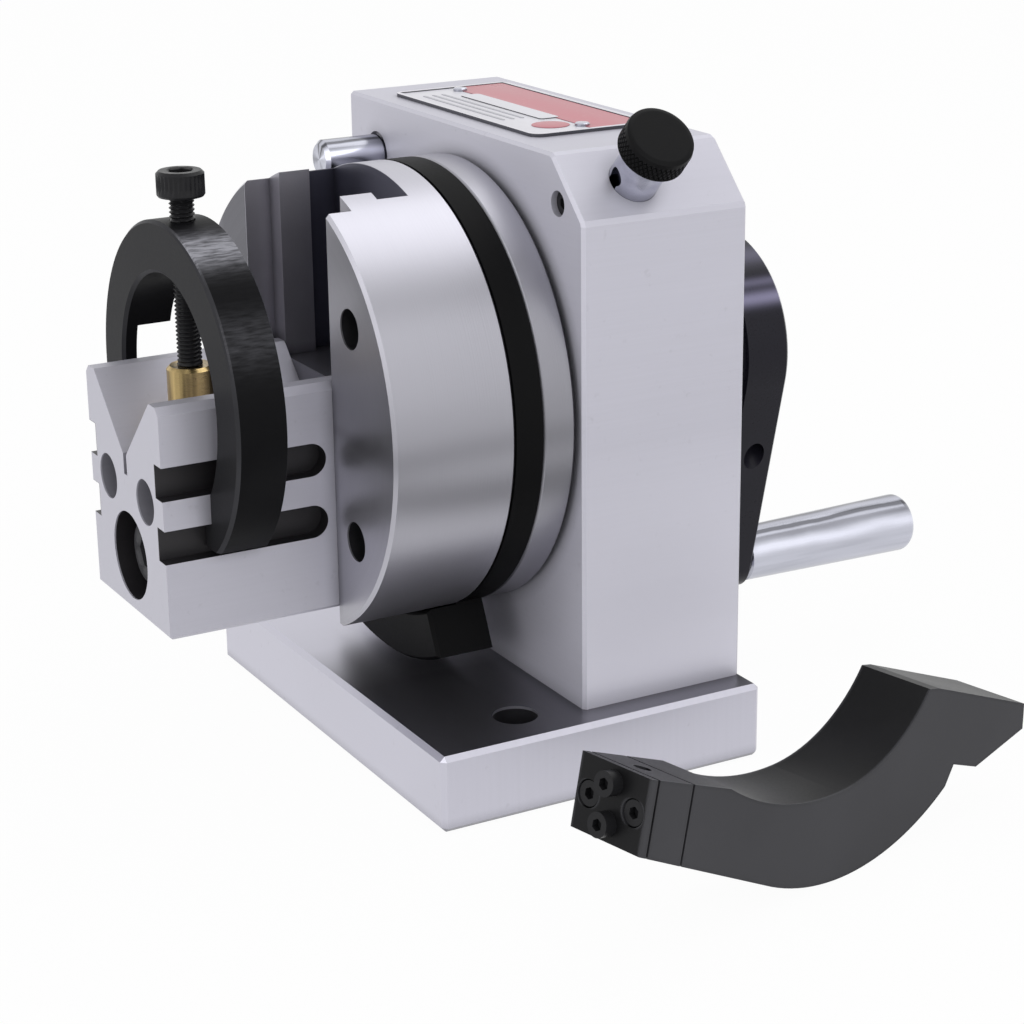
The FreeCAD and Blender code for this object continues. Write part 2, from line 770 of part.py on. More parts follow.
def make_faceplate():
    """Faceplate with a tee slot from rim to rim and four counterbored screw holes."""
    body = new_body("faceplate")
    chamfer = s.turned_chamfer
    profile = new_sketch(body, "XZ_Plane")
    outline(profile, [
        (faceplate_front, 0), (faceplate_rear - s.spigot_depth, 0),
        (faceplate_rear - s.spigot_depth, s.spigot_radius + s.seat_clearance),
        (faceplate_rear, s.spigot_radius + s.seat_clearance),
        (faceplate_rear, s.faceplate_radius - chamfer), (faceplate_rear - chamfer, s.faceplate_radius),
        (faceplate_front + chamfer, s.faceplate_radius), (faceplate_front, s.faceplate_radius - chamfer)])
    revolve(body, profile)
    steps = [(faceplate_front, slot_half), (recess_floor, slot_half), (recess_floor, s.neck_half_width),
             (neck_end, s.neck_half_width), (neck_end, s.tee_half_width), (tee_floor, s.tee_half_width)]
    near = [(x, -y) for x, y in reversed(steps)]
    slot = outline(new_sketch(body, "XY_Plane"), steps + near)
    pocket(body, slot, s.faceplate_radius * 2 + 2, both_ways=True)
    sunk = new_sketch(body, "YZ_Plane", faceplate_front)
    bores = new_sketch(body, "YZ_Plane", faceplate_front)
    for a, b in FACE_SCREWS:
        circle(sunk, a * s.face_screw_offset, b * s.face_screw_rise, s.face_counterbore_radius)
        circle(bores, a * s.face_screw_offset, b * s.face_screw_rise, s.face_screw_radius + s.seat_clearance)
    pocket(body, sunk, s.face_counterbore_depth, forwards=True)
    pocket(body, bores, s.faceplate_thickness, forwards=True)
    place(body, z=spindle_z)
    seat = faceplate_front + s.face_counterbore_depth
    length = flange_rear - seat - 1.5
    backwards = pointing((-1, 0, 0))
    group([socket_screw(s.face_screw_radius, length, s.face_screw_head_radius, s.face_screw_head_height,
                        seat, a * s.face_screw_offset, spindle_z + b * s.face_screw_rise, backwards)
           for a, b in FACE_SCREWS], "faceplate_screws")


def make_index_wheel():
    """Wheel with a ring of drilled index holes, each parallel to the plunger when it comes round."""
    body = new_body("index_wheel")
    bore = s.front_journal_radius - 1 + s.seat_clearance
    profile = new_sketch(body, "XZ_Plane")
    outline(profile, [(0, bore), (s.wheel_thickness, bore), (s.wheel_thickness, s.wheel_radius),
                      (0, s.wheel_radius)])
    revolve(body, profile)
    key = new_sketch(body, "YZ_Plane")
    rectangle(key, -s.key_size / 2, bore - 1, s.key_size / 2, bore + s.key_size / 2)
    pocket(body, key, s.wheel_thickness, forwards=True)
    drill = new_sketch(body, "XY_Plane", s.wheel_radius - s.index_hole_depth)
    circle(drill, s.wheel_thickness / 2, plunger_offset, s.plunger_tip_radius + s.running_clearance * 4)
    hole = pocket(body, drill, s.index_hole_depth + 1, forwards=True)
    pattern = body.newObject("PartDesign::PolarPattern", "index_holes")
    pattern.Originals = [hole]
    pattern.Axis = ([item for item in body.Origin.OriginFeatures if item.Role == "X_Axis"][0], [""])
    pattern.Angle = 360.0
    bind(pattern, "Occurrences", s.index_count)
    body.Tip = pattern
    doc.recompute()
    turn = FreeCAD.Rotation(V(1, 0, 0), 45)
    place(body, wheel_front, 0, spindle_z, turn)


def make_crank():
    """Lock nut, crank with its boss and hub, set screw, and the handle on its shoulder screw."""
    body = turned("lock_nut_blank", [
        (nut_front, s.crank_seat_radius + s.seat_clearance),
        (crank_boss_front - s.seat_clearance, s.crank_seat_radius + s.seat_clearance),
        (crank_boss_front - s.seat_clearance, s.nut_radius), (nut_front, s.nut_radius)])
    place(body, z=spindle_z)
    notches = []
    reach = s.nut_radius - s.nut_notch_depth / 2
    for y, z in ((-1, 0), (1, 0), (0, -1), (0, 1)):
        width, height = s.nut_notch_depth, s.nut_notch_width
        if z:
            width, height = height, width
        notches.append(box(s.nut_thickness, width, height, nut_front,
                           y * reach - width / 2, spindle_z + z * reach - height / 2))
    cut(body, notches, "lock_nut")
    arm = new_body("crank_blank")
    lean = (s.crank_hub_radius - s.crank_tip_radius) / s.crank_throw
    level = root(1 - lean * lean)
    hub, tip, throw = s.crank_hub_radius, s.crank_tip_radius, s.crank_throw
    profile = new_sketch(arm, "YZ_Plane", crank_front)
    outline(profile, [
        (-(hub * level), -(hub * lean)), (-(tip * level), -throw - tip * lean),
        (tip * level, -throw - tip * lean), (hub * level, -(hub * lean))],
        {1: (tip, (0, -throw), True), 3: (hub, (0, 0), True)})
    pad(arm, profile, s.crank_thickness)
    boss = circle(new_sketch(arm, "YZ_Plane", crank_boss_front), 0, 0, s.crank_boss_radius)
    pad(arm, boss, s.crank_boss_length)
    bevel(arm, s.crank_edge, lambda edge: edge.CenterOfMass.x > crank_rear.value - 0.01)
    bores = new_sketch(arm, "YZ_Plane", crank_boss_front)
    circle(bores, 0, 0, s.crank_seat_radius + s.seat_clearance)
    circle(bores, 0, -throw, s.handle_bolt_radius + s.seat_clearance)
    pocket(arm, bores, s.crank_thickness + s.crank_boss_length, forwards=True)
    turn = FreeCAD.Rotation(V(-1, 0, 0), s.crank_turn.value)
    place(arm, z=spindle_z, turn=turn)
    bind(arm, "Placement.Rotation.Angle", s.crank_turn)
    middle = (crank_front + crank_rear) / 2
    radial = (0, -0.63, -0.777)
    hole = cylinder(s.clamp_screw_radius + s.seat_clearance, s.crank_hub_radius + 12, middle, 0, spindle_z,
                    pointing(radial))
    cut(arm, [hole], "crank")
    start = s.crank_seat_radius + s.seat_clearance
    key_depth = s.set_screw_socket * 2
    screw = cut(cylinder(s.clamp_screw_radius, s.set_screw_length, 0, 0, 0, UP),
                [place(hexagon(s.set_screw_socket, key_depth), 0, 0, s.set_screw_length - key_depth + 0.5)],
                "crank_set_screw")
    place(screw, middle, radial[1] * start, spindle_z + radial[2] * start, pointing(radial))
    y = -(throw * sine(s.crank_turn))
    z = spindle_z - throw * cosine(s.crank_turn)
    inner = s.handle_bolt_radius + s.running_clearance
    start, end = crank_rear + s.face_clearance, crank_rear + s.handle_length
    edge = s.handle_end_round
    recess = end - s.handle_recess_depth
    grip = new_body("handle")
    revolve(grip, outline(new_sketch(grip, "XZ_Plane"), [
        (start, inner), (recess, inner), (recess, s.handle_recess_radius), (end, s.handle_recess_radius),
        (end, s.handle_end_radius - edge),
        (end - edge, s.handle_end_radius), (start + 1, s.handle_root_radius),
        (start, s.handle_root_radius - 1)],
        {4: (edge, (end - edge, s.handle_end_radius - edge), True)}))
    place(grip, 0, y, z)
    seat = recess + s.face_clearance
    bolt = socket_screw(s.handle_bolt_radius, seat - crank_rear + s.handle_bolt_grip,
                        s.handle_bolt_head_radius, s.handle_bolt_head_height, seat, y, z, ALONG_X)
    bolt.Label = "handle_bolt"


def hexagon(radius, depth):
    """The prism that a hexagon key's socket takes away."""
    prism = primitive("Prism", Circumradius=radius, Height=depth)
    prism.Polygon = 6
    return prism


def make_stop_pin():
    """Stop pin with a thinner shank pressed into the upright."""
    start = column_front - s.stop_pin_reach
    shoulder = column_front - s.face_clearance
    end = column_front + s.stop_pin_seat - s.stop_pin_chamfer
    radius, chamfer = s.stop_pin_radius, s.stop_pin_chamfer
    body = turned("stop_pin", [
        (start, 0), (end, 0), (end, s.stop_pin_shank_radius), (shoulder, s.stop_pin_shank_radius),
        (shoulder, radius), (start + chamfer, radius), (start, radius - chamfer)])
    place(body, 0, pin_offset, spindle_z + pin_offset)


def make_plunger():
    """Plunger with its slot for the guide screw, and the knob threaded on its stud."""
    outer = -s.plunger_show - s.plunger_stud_length
    stud = s.plunger_stud_radius
    body = new_body("plunger_blank")
    radius, tip = s.plunger_radius, s.plunger_tip_radius
    revolve_z(body, outline(new_sketch(body, "XZ_Plane"), [
        (0, outer), (0, tip_rest_depth), (tip - 0.6, tip_rest_depth), (tip, tip_rest_depth - 0.6),
        (tip, s.plunger_body), (radius - 0.8, s.plunger_body), (radius, s.plunger_body - 0.8),
        (radius, -s.plunger_show), (stud, -s.plunger_show), (stud, outer)]))
    slot = new_sketch(body, "YZ_Plane", -radius)
    half = s.dog_radius + s.running_clearance
    back = s.dog_depth - s.plunger_travel + 1
    rectangle(slot, -half, back - half, half, s.dog_depth + half)
    pocket(body, slot, 2.2, forwards=True)
    cross = circle(new_sketch(body, "YZ_Plane", -radius), 0, -s.plunger_cross_rise, s.plunger_cross_hole)
    pocket(body, cross, 4, forwards=True)
    inward = FreeCAD.Rotation(V(1, 0, 0), -135)
    place(body, *along_plunger(0), inward).Label = "plunger"
    knob = new_body("knob")
    seat, bottom = -s.plunger_show - s.seat_clearance, outer - s.seat_clearance
    top, edge = -s.plunger_show - s.knob_length, s.knob_edge
    revolve_z(knob, outline(new_sketch(knob, "XZ_Plane"), [
        (stud + s.seat_clearance, seat), (stud + s.seat_clearance, bottom), (0, bottom), (0, top),
        (s.knob_radius - edge, top), (s.knob_radius, top + edge), (s.knob_radius, seat - edge / 2),
        (s.knob_radius - edge / 2, seat)]))
    place(knob, *along_plunger(0), inward)
    reach = plunger_x - s.plunger_radius - column_front
    y, z = along_plunger(s.dog_depth)[1:]
    thread = cylinder(s.dog_screw_radius, reach - 2.5, column_front + 1.5, y, z)
    dog = cylinder(s.dog_radius, 2.6, column_front + reach - 1, y, z)
    key = place(hexagon(1.5, 3), column_front + 1.5, y, z, ALONG_X)
    cut(fuse([thread, dog]), [key], "guide_screw")


def revolve_z(body, sketch):
    """A solid of revolution about the body's own Z axis."""
    feature = body.newObject("PartDesign::Revolution", f"{body.Name}_revolution")
    feature.Profile = sketch
    feature.ReferenceAxis = (sketch, ["V_Axis"])
    feature.Angle = 360.0
    doc.recompute()
    return feature


def make_vee_block():
    """Vee block with a tongue in the faceplate's recess, side slots and counterbored screw holes."""
    half = s.block_half_width
    body = new_body("vee_block")
    rear = recess_floor - s.face_clearance
    apex = block_top - s.vee_depth
    relief = s.vee_relief_half_width
    front = new_sketch(body, "YZ_Plane", block_front)
    edge = s.block_chamfer
    outline(front, [
        (-half, block_bottom), (half, block_bottom), (half, block_top - edge), (half - edge, block_top),
        (s.vee_depth, block_top), (relief, apex + relief), (relief, apex - s.vee_relief_depth),
        (-relief, apex - s.vee_relief_depth), (-relief, apex + relief), (-s.vee_depth, block_top),
        (edge - half, block_top), (-half, block_top - edge)])
    pad(body, front, rear - block_front)
    bevel(body, s.edge_chamfer, lambda e: straight(e, 1) and e.CenterOfMass.x < block_front.value + 0.01
          and e.CenterOfMass.z < block_bottom.value + 0.01 or straight(e, 0)
          and e.CenterOfMass.z < block_bottom.value + 0.01)
    radius = s.side_slot_height / 2
    centre = block_rear - s.side_slot_land - radius
    for side in (-1, 1):
        sketch = new_sketch(body, "XZ_Plane", -side * half)
        for drop in (s.upper_slot_drop, s.lower_slot_drop):
            z = block_top - drop
            outline(sketch, [(block_front - 1, z - radius), (centre, z - radius), (centre, z + radius),
                             (block_front - 1, z + radius)],
                    {1: (radius, (centre, z), True)})
        pocket(body, sketch, s.side_slot_depth, forwards=side > 0)
    sunk = new_sketch(body, "YZ_Plane", block_front)
    bores = new_sketch(body, "YZ_Plane", block_front)
    screw_z = block_top - s.block_screw_drop
    bolt_z = block_top - s.tee_bolt_drop
    for side in (-1, 1):
        circle(sunk, side * s.block_screw_offset, screw_z, s.block_counterbore_radius)
        circle(bores, side * s.block_screw_offset, screw_z, s.block_screw_radius + s.seat_clearance)
    circle(bores, 0, bolt_z, s.tee_bolt_radius + s.running_clearance)
    pocket(body, sunk, s.block_counterbore_depth, forwards=True)
    pocket(body, bores, rear - block_front, forwards=True)
    big = circle(new_sketch(body, "YZ_Plane", block_front), 0, bolt_z, s.tee_bolt_counterbore_radius)
    pocket(body, big, s.tee_bolt_counterbore_depth, forwards=True)
    gap = s.face_clearance
    neck, tee = s.neck_half_width - gap, s.tee_half_width - gap
    slider = new_body("tee_slider")
    profile = new_sketch(slider, "XY_Plane", block_bottom + s.slider_inset)
    steps = [(rear, neck), (neck_end + gap, neck), (neck_end + gap, tee), (tee_floor - gap, tee)]
    outline(profile, steps + [(x, -y) for x, y in reversed(steps)])
    pad(slider, profile, s.slider_length)
    taps = new_sketch(slider, "YZ_Plane", rear)
    for side in (-1, 1):
        circle(taps, side * s.block_screw_offset, screw_z, s.block_screw_radius + s.seat_clearance)
    circle(taps, 0, bolt_z, s.tee_bolt_radius + s.seat_clearance)
    pocket(slider, taps, tee_floor - rear, forwards=True)
    seat = block_front + s.block_counterbore_depth
    backwards = pointing((-1, 0, 0))
    group([socket_screw(s.block_screw_radius, rear - seat + 12, s.block_screw_head_radius,
                        s.block_screw_head_height, seat, side * s.block_screw_offset, screw_z, backwards)
           for side in (-1, 1)], "block_screws")
    seat = block_front + s.tee_bolt_counterbore_depth
    bolt = socket_screw(s.tee_bolt_radius, tee_floor - gap - seat, s.tee_bolt_head_radius,
                        s.tee_bolt_head_height, seat, 0, bolt_z, backwards)
    bolt.Label = "lock_screw"


def make_clamp():
    """Strap clamp that hooks into the vee block's side slots, its screw and the brass pad."""
    gap = s.face_clearance
    centre_x = block_front + s.bow_setback
    front = centre_x - s.bow_thickness / 2
    middle = block_top - s.bow_centre_drop
    outer, inner = s.bow_outer_radius, s.bow_inner_radius
    side = s.block_half_width + s.bow_side_gap
    foot_z = -s.bow_foot_drop
    foot_y = root(outer * outer - foot_z * foot_z)
    catch_z = -root(inner * inner - side * side)
    body = new_body("clamp_bow")
    sketch = new_sketch(body, "YZ_Plane", front)
    lug_top = block_top - s.lower_slot_drop + s.side_slot_height / 2 - s.lug_clearance - middle
    lug = side - s.bow_side_gap - s.lug_reach
    outline(sketch, [
        (lug, lug_top), (lug, foot_z), (foot_y, foot_z), (-foot_y, foot_z), (-lug, foot_z), (-lug, lug_top),
        (-side, lug_top), (-side, catch_z), (side, catch_z), (side, lug_top)],
        {2: (outer, (0, 0), True), 7: (inner, (0, 0), False)})
    pad(body, sketch, s.bow_thickness)
    relief = new_sketch(body, "YZ_Plane", front + s.bow_thickness)
    rectangle(relief, side - 1, lug_top + 2, outer + 1, s.bow_relief_rise)
    pocket(body, relief, s.bow_thickness - s.bow_plate)
    bevel(body, s.edge_chamfer, lambda e: abs(e.CenterOfMass.x - front.value) < 0.01
          and e.Length > 30 and math.hypot(e.CenterOfMass.y, e.CenterOfMass.z) > 5)
    tap = new_sketch(body, "XY_Plane", outer + 1)
    circle(tap, centre_x, 0, s.clamp_screw_radius + s.running_clearance)
    pocket(body, tap, outer)
    place(body, z=middle)
    pad_bottom = block_top - s.vee_depth + s.pad_radius + s.pad_lift
    pad_top = pad_bottom + s.pad_height
    rounded = 0.8
    pad_body = new_body("brass_pad")
    spigot, depth = s.clamp_tip_radius, s.clamp_tip_length
    revolve_z(pad_body, outline(new_sketch(pad_body, "XZ_Plane"), [
        (0, 0), (s.pad_radius - rounded, 0), (s.pad_radius, rounded), (s.pad_radius, s.pad_height - rounded),
        (s.pad_radius - rounded, s.pad_height), (spigot + s.running_clearance, s.pad_height),
        (spigot + s.running_clearance, s.pad_height - depth), (0, s.pad_height - depth)]))
    place(pad_body, centre_x, 0, pad_bottom)
    head_z = middle + outer + s.clamp_screw_show
    shank = cylinder(s.clamp_screw_radius, head_z - pad_top - gap, centre_x, 0, pad_top + gap, UP)
    tip = cylinder(spigot, depth + gap, centre_x, 0, pad_top - depth + s.running_clearance, UP)
    head = cylinder(s.clamp_head_radius, s.clamp_head_height, centre_x, 0, head_z, UP)
    key = place(hexagon(3, 4), centre_x, 0, head_z + s.clamp_head_height - 3.5)
    cut(fuse([shank, tip, head]), [key], "clamp_screw")


def make_name_plate():
    """Name plate with a raised rim on the upright's top, and its two rivets."""
    body = new_body("name_plate_blank")
    x0 = column_front + s.plate_front_margin
    y1 = column_far - s.plate_far_margin
    x1, y0 = x0 + s.plate_width, y1 - s.plate_length
    radius = s.plate_corner
    sketch = rectangle(new_sketch(body, "XY_Plane", column_top), x0, y0, x1, y1)
    pad(body, sketch, s.plate_thickness)
    bevel(body, radius, lambda edge: straight(edge, 2), "Fillet")
    rim = s.plate_rim
    well = rectangle(new_sketch(body, "XY_Plane", column_top + s.plate_thickness),
                     x0 + rim, y0 + rim, x1 - rim, y1 - rim)
    pocket(body, well, s.plate_thickness / 3)
    holes, rivets = [], []
    middle = (x0 + x1) / 2
    for y in (y0 + s.rivet_inset, y1 - s.rivet_inset):
        holes.append(cylinder(s.rivet_stem_radius + s.seat_clearance, s.plate_thickness + 2, middle, y,
                              column_top - 1, UP))
        stem = cylinder(s.rivet_stem_radius, s.plate_thickness, middle, y, column_top, UP)
        head = cylinder(s.rivet_radius, s.rivet_height, middle, y, column_top + s.plate_thickness * 2 / 3, UP)
        rivets.append(fuse([stem, head]))
    cut(body, holes, "name_plate")
    group(rivets, "name_plate_rivets")


def make_foot_fasteners():
    depth = s.foot_screw_head_height + 1
    group([socket_screw(s.foot_screw_radius, s.foot_screw_length, s.foot_screw_head_radius,
                        s.foot_screw_head_height, x, y, depth, pointing((0, 0, -1)))
           for x, y in foot_screw_places()], "foot_screws")
    group([cylinder(s.dowel_radius, s.dowel_length, x, y, 1, UP) for x, y in dowel_places()], "foot_dowels")


def make_dresser_arm():
    """Curved arm with a foot, a tool block and an end plate held on by two screws."""
    body = new_body("dresser_profile")
    height, width = s.arm_end_height, s.arm_width
    points = [
        (0, 0), (s.arm_back_x, -s.arm_back_drop), (s.arm_heel_x, s.arm_heel_z),
        (s.arm_foot_root_x, s.arm_foot_root_z), (s.arm_foot_toe_x, s.arm_foot_toe_z),
        (s.arm_foot_tip_x, s.arm_foot_tip_z), (s.arm_foot_end_x, s.arm_foot_end_z),
        (s.arm_shoulder_x, s.arm_shoulder_z), (s.arm_low_x, s.arm_low_z), (s.arm_bend_x, s.arm_bend_z),
        (0, height)]
    outline(new_sketch(body, "XZ_Plane"), points, {
        1: (s.arm_back_radius, (57, 44.8), True), 7: (s.arm_inner_radius, (54.1, 44.2), False),
        8: (s.arm_bend_radius, (49.7, 63.8), False)})
    pad(body, body.Group[-1], width, backwards=True)
    plate, block, groove = s.end_plate_thickness, s.tool_block_end, s.joint_groove

    def slab(start, end):
        part = doc.addObject("Part::Common", "Slice")
        part.Base = body
        part.Tool = box(end - start, width + 2, 60, start, -1, -30)
        return part

    def land(start, end):
        inset = s.joint_land_inset
        return box(end - start, width - inset * 2, height - 4 - inset * 2, start, inset, inset)

    holes, screws = [], []
    half_height = height / 2
    sink = s.arm_screw_head_height + 0.3
    for side in (-1, 1):
        y = width / 2 + side * s.arm_screw_spread
        holes.append(cylinder(s.arm_screw_radius + s.seat_clearance, block + 9, 0, y, half_height))
        holes.append(cylinder(s.arm_screw_head_radius + 0.3, sink, 0, y, half_height))
        screws.append(socket_screw(s.arm_screw_radius, block + 5, s.arm_screw_head_radius,
                                   s.arm_screw_head_height, sink, y, half_height, pointing((-1, 0, 0))))
    tool_screws = []
    middle = (plate + block) / 2
    for side in (-1, 1):
        z = half_height + side * s.tool_screw_spread
        holes.append(cylinder(s.arm_screw_radius + s.seat_clearance, middle - 1, 0, width / 2, z))
        tool_screws.append(socket_screw(s.arm_screw_radius, middle - s.tool_bore_radius - 0.3,
                                        s.arm_screw_head_radius, s.arm_screw_head_height, 0, width / 2, z,
                                        pointing((-1, 0, 0))))
    bore = cylinder(s.tool_bore_radius, 60, middle, width / 2, -30, UP)
    touch = s.seat_clearance
    pieces = [
        cut(slab(size(0), plate), holes, "end_plate"),
        cut(cut(fuse([slab(plate + groove, block - groove), land(plate + touch, block - touch)]), [bore]),
            holes, "tool_block"),
        cut(slab(block, s.arm_foot_tip_x + 5), holes, "dresser_arm"),
        group(screws, "arm_screws"), group(tool_screws, "tool_screws")]
    turn = (FreeCAD.Rotation(V(0, 0, 1), s.arm_heading.value)
            * FreeCAD.Rotation(V(0, 1, 0), s.arm_dip.value))
    for piece in pieces:
        place(piece, s.arm_x, s.arm_y, s.arm_z, turn)


make_base()
make_column()
make_bearings()
make_spindle()
make_stop_ring()
make_faceplate()
make_index_wheel()
make_crank()
make_stop_pin()
make_plunger()
make_vee_block()
make_clamp()
make_name_plate()
make_foot_fasteners()
make_dresser_arm()

NODES = [
    "base_plate", "column", "foot_screws", "foot_dowels", "front_bush", "rear_bush", "rear_cover",
    "rear_cover_screws", "stop_pin", "guide_screw", "name_plate", "name_plate_rivets",
    "spindle", "stop_ring", "faceplate", "faceplate_screws", "index_wheel", "index_key", "lock_nut",
    "crank", "crank_set_screw", "handle_bolt", "handle", "plunger", "knob",
    "vee_block", "tee_slider", "block_screws", "lock_screw", "clamp_bow", "clamp_screw", "brass_pad",
    "dresser_arm", "tool_block", "end_plate", "arm_screws", "tool_screws",
]

doc.recompute()
for item in doc.Objects:
    if "Invalid" in item.State or "Error" in item.State:
        raise RuntimeError(f"{item.Name} did not rebuild: {item.getStatusString()}")
os.makedirs("parts", exist_ok=True)
for node in NODES:
    shape = doc.getObjectsByLabel(node)[0].Shape
    if not shape.isValid() or not shape.Solids:
        raise RuntimeError(f"{node} is not a sound solid")
    shape.exportStep(f"parts/{node}.step")
    print(node, len(shape.Solids), round(shape.Volume), [round(v, 1) for v in (
        shape.BoundBox.XMin, shape.BoundBox.XMax, shape.BoundBox.YMin, shape.BoundBox.YMax,
        shape.BoundBox.ZMin, shape.BoundBox.ZMax)])
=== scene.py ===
"""Punch former: finishes, knurled heads, threads, name plate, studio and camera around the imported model."""

import math

import bmesh
import bpy
from mathutils import Matrix, Vector


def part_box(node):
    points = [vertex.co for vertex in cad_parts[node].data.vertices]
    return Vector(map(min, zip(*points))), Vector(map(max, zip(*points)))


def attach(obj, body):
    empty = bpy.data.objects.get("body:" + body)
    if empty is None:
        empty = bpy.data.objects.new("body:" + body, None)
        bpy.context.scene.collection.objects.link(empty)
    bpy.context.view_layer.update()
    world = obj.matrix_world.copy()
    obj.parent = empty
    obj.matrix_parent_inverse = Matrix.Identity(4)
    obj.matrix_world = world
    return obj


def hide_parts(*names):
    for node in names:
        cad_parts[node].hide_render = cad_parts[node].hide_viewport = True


bl_info = {
    "name": "Punch Former",
    "version": (1, 0, 0),
    "blender": (4, 5, 0),
    "location": "View3D > Sidebar > Punch Former",
    "description": "Dresses a punch former's solids with toolroom finishes",
    "category": "Object",
}

MM = 0.001
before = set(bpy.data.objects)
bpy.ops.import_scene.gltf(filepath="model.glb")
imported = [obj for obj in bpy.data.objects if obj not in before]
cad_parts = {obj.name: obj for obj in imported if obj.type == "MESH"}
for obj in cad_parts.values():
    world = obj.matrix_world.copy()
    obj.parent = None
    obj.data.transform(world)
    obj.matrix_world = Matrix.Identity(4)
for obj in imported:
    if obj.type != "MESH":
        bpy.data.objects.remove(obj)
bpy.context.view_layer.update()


def middle(node):
    low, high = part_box(node)
    return (low + high) / 2


FACE_LOW, FACE_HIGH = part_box("faceplate")
AXIS_Z = (FACE_LOW.z + FACE_HIGH.z) / 2
RING_RADIUS = 41 * MM
RING_CENTRE_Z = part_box("clamp_bow")[1].z - RING_RADIUS
BLOCK_LOW, BLOCK_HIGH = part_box("vee_block")

# The vee block's side slots and bores, and the faceplate's tee slot and bores, as the solids have them
SLOT_DROPS = (17.9 * MM, 33.0 * MM)
SLOT_HEIGHT = 8.0 * MM
SLOT_DEPTH = 4.2 * MM
SLOT_END = 40.95 * MM
LOCK_BORE = 10.9 * MM
SMALL_BORE = 5.7 * MM
SMALL_HEAD = 5.0 * MM
TEE_HALF = 23.2 * MM
TEE_STEP = 14.6 * MM
FACE_SCREW_OUT = 33.5 * MM
FACE_SCREW_UP = 25.4 * MM
FACE_SCREW_BORE = 4.9 * MM

# How deep below a face a wall starts to take the shade, in slots and in bores
SLOT_SKIN = 0.06 * MM
BORE_SKIN = 0.4 * MM

# The milled sides of the dresser arm and of the clamp bow face along these directions.
ARM_SIDE = (-0.2267, 0.974, 0.0)
BOW_SIDE = (1.0, 0.0, 0.0)

# Where the painted dark reflection on the base's top ends, how fast it deepens per metre, and where the
# painted light on the upright's front begins and fades
REFLECTION_EDGE = 12 * MM
REFLECTION_RISE = 34.0
PAINTED_LIGHT_BELOW = 85 * MM
PAINTED_LIGHT_FADE = 60 * MM

# Painted shade where other surfaces stand close
PAINTED_SHADE = (0.012, 0.012, 0.015, 1.0)
# Painted shade in slots and holes, and a painted dark reflection on the base's top
SHADE_AND_DARK_REFLECTION = (0.022, 0.020, 0.023, 1.0)
BORE_SHADE = (0.03, 0.03, 0.035, 1.0)
CHEEK_SHADE = (0.06, 0.06, 0.075, 1.0)
PLATE_WALL = (0.05, 0.05, 0.065, 1.0)
# Painted light on the upright's front towards its foot
PAINTED_LIGHT_STEEL = (0.84, 0.83, 0.93, 1.0)
BARE_METAL = (0.8, 0.78, 0.8, 1.0)
WHITE = (1.0, 1.0, 1.0, 1.0)

# The camera, solved on the photograph: focal length and width in pixels, place in metres
FOCAL_PIXELS = 2512.94
PICTURE_WIDTH = 1024
SENSOR_WIDTH = 36.0
CAMERA_PLACE = (-0.28452, -0.53286, 0.25610)
CAMERA_RIGHT = (0.873, -0.4877, -0.0115)
CAMERA_FORWARD = (0.459, 0.8291, -0.3194)


# Shader arithmetic

class Value:
    """The output of a shader node, usable in ordinary expressions."""

    def __init__(self, finish, socket):
        self.finish = finish
        self.socket = socket

    def math(self, operation, *others):
        return self.finish.node("ShaderNodeMath", {"operation": operation}, self, *others)

    def __add__(self, other):
        return self.math("ADD", other)

    def __sub__(self, other):
        return self.math("SUBTRACT", other)

    def __mul__(self, other):
        return self.math("MULTIPLY", other)

    def __truediv__(self, other):
        return self.math("DIVIDE", other)

    def __pow__(self, other):
        return self.math("POWER", other)

    def __gt__(self, other):
        return self.math("GREATER_THAN", other)

    def __lt__(self, other):
        return self.math("LESS_THAN", other)

    def __neg__(self):
        return self * -1.0

    def __abs__(self):
        return self.math("ABSOLUTE")

    def __radd__(self, other):
        return self + other

    def __rmul__(self, other):
        return self * other

    def __rsub__(self, other):
        return self.finish.node("ShaderNodeMath", {"operation": "SUBTRACT"}, other, self)

    def between(self, low, high):
        return self.math("MAXIMUM", low).math("MINIMUM", high)


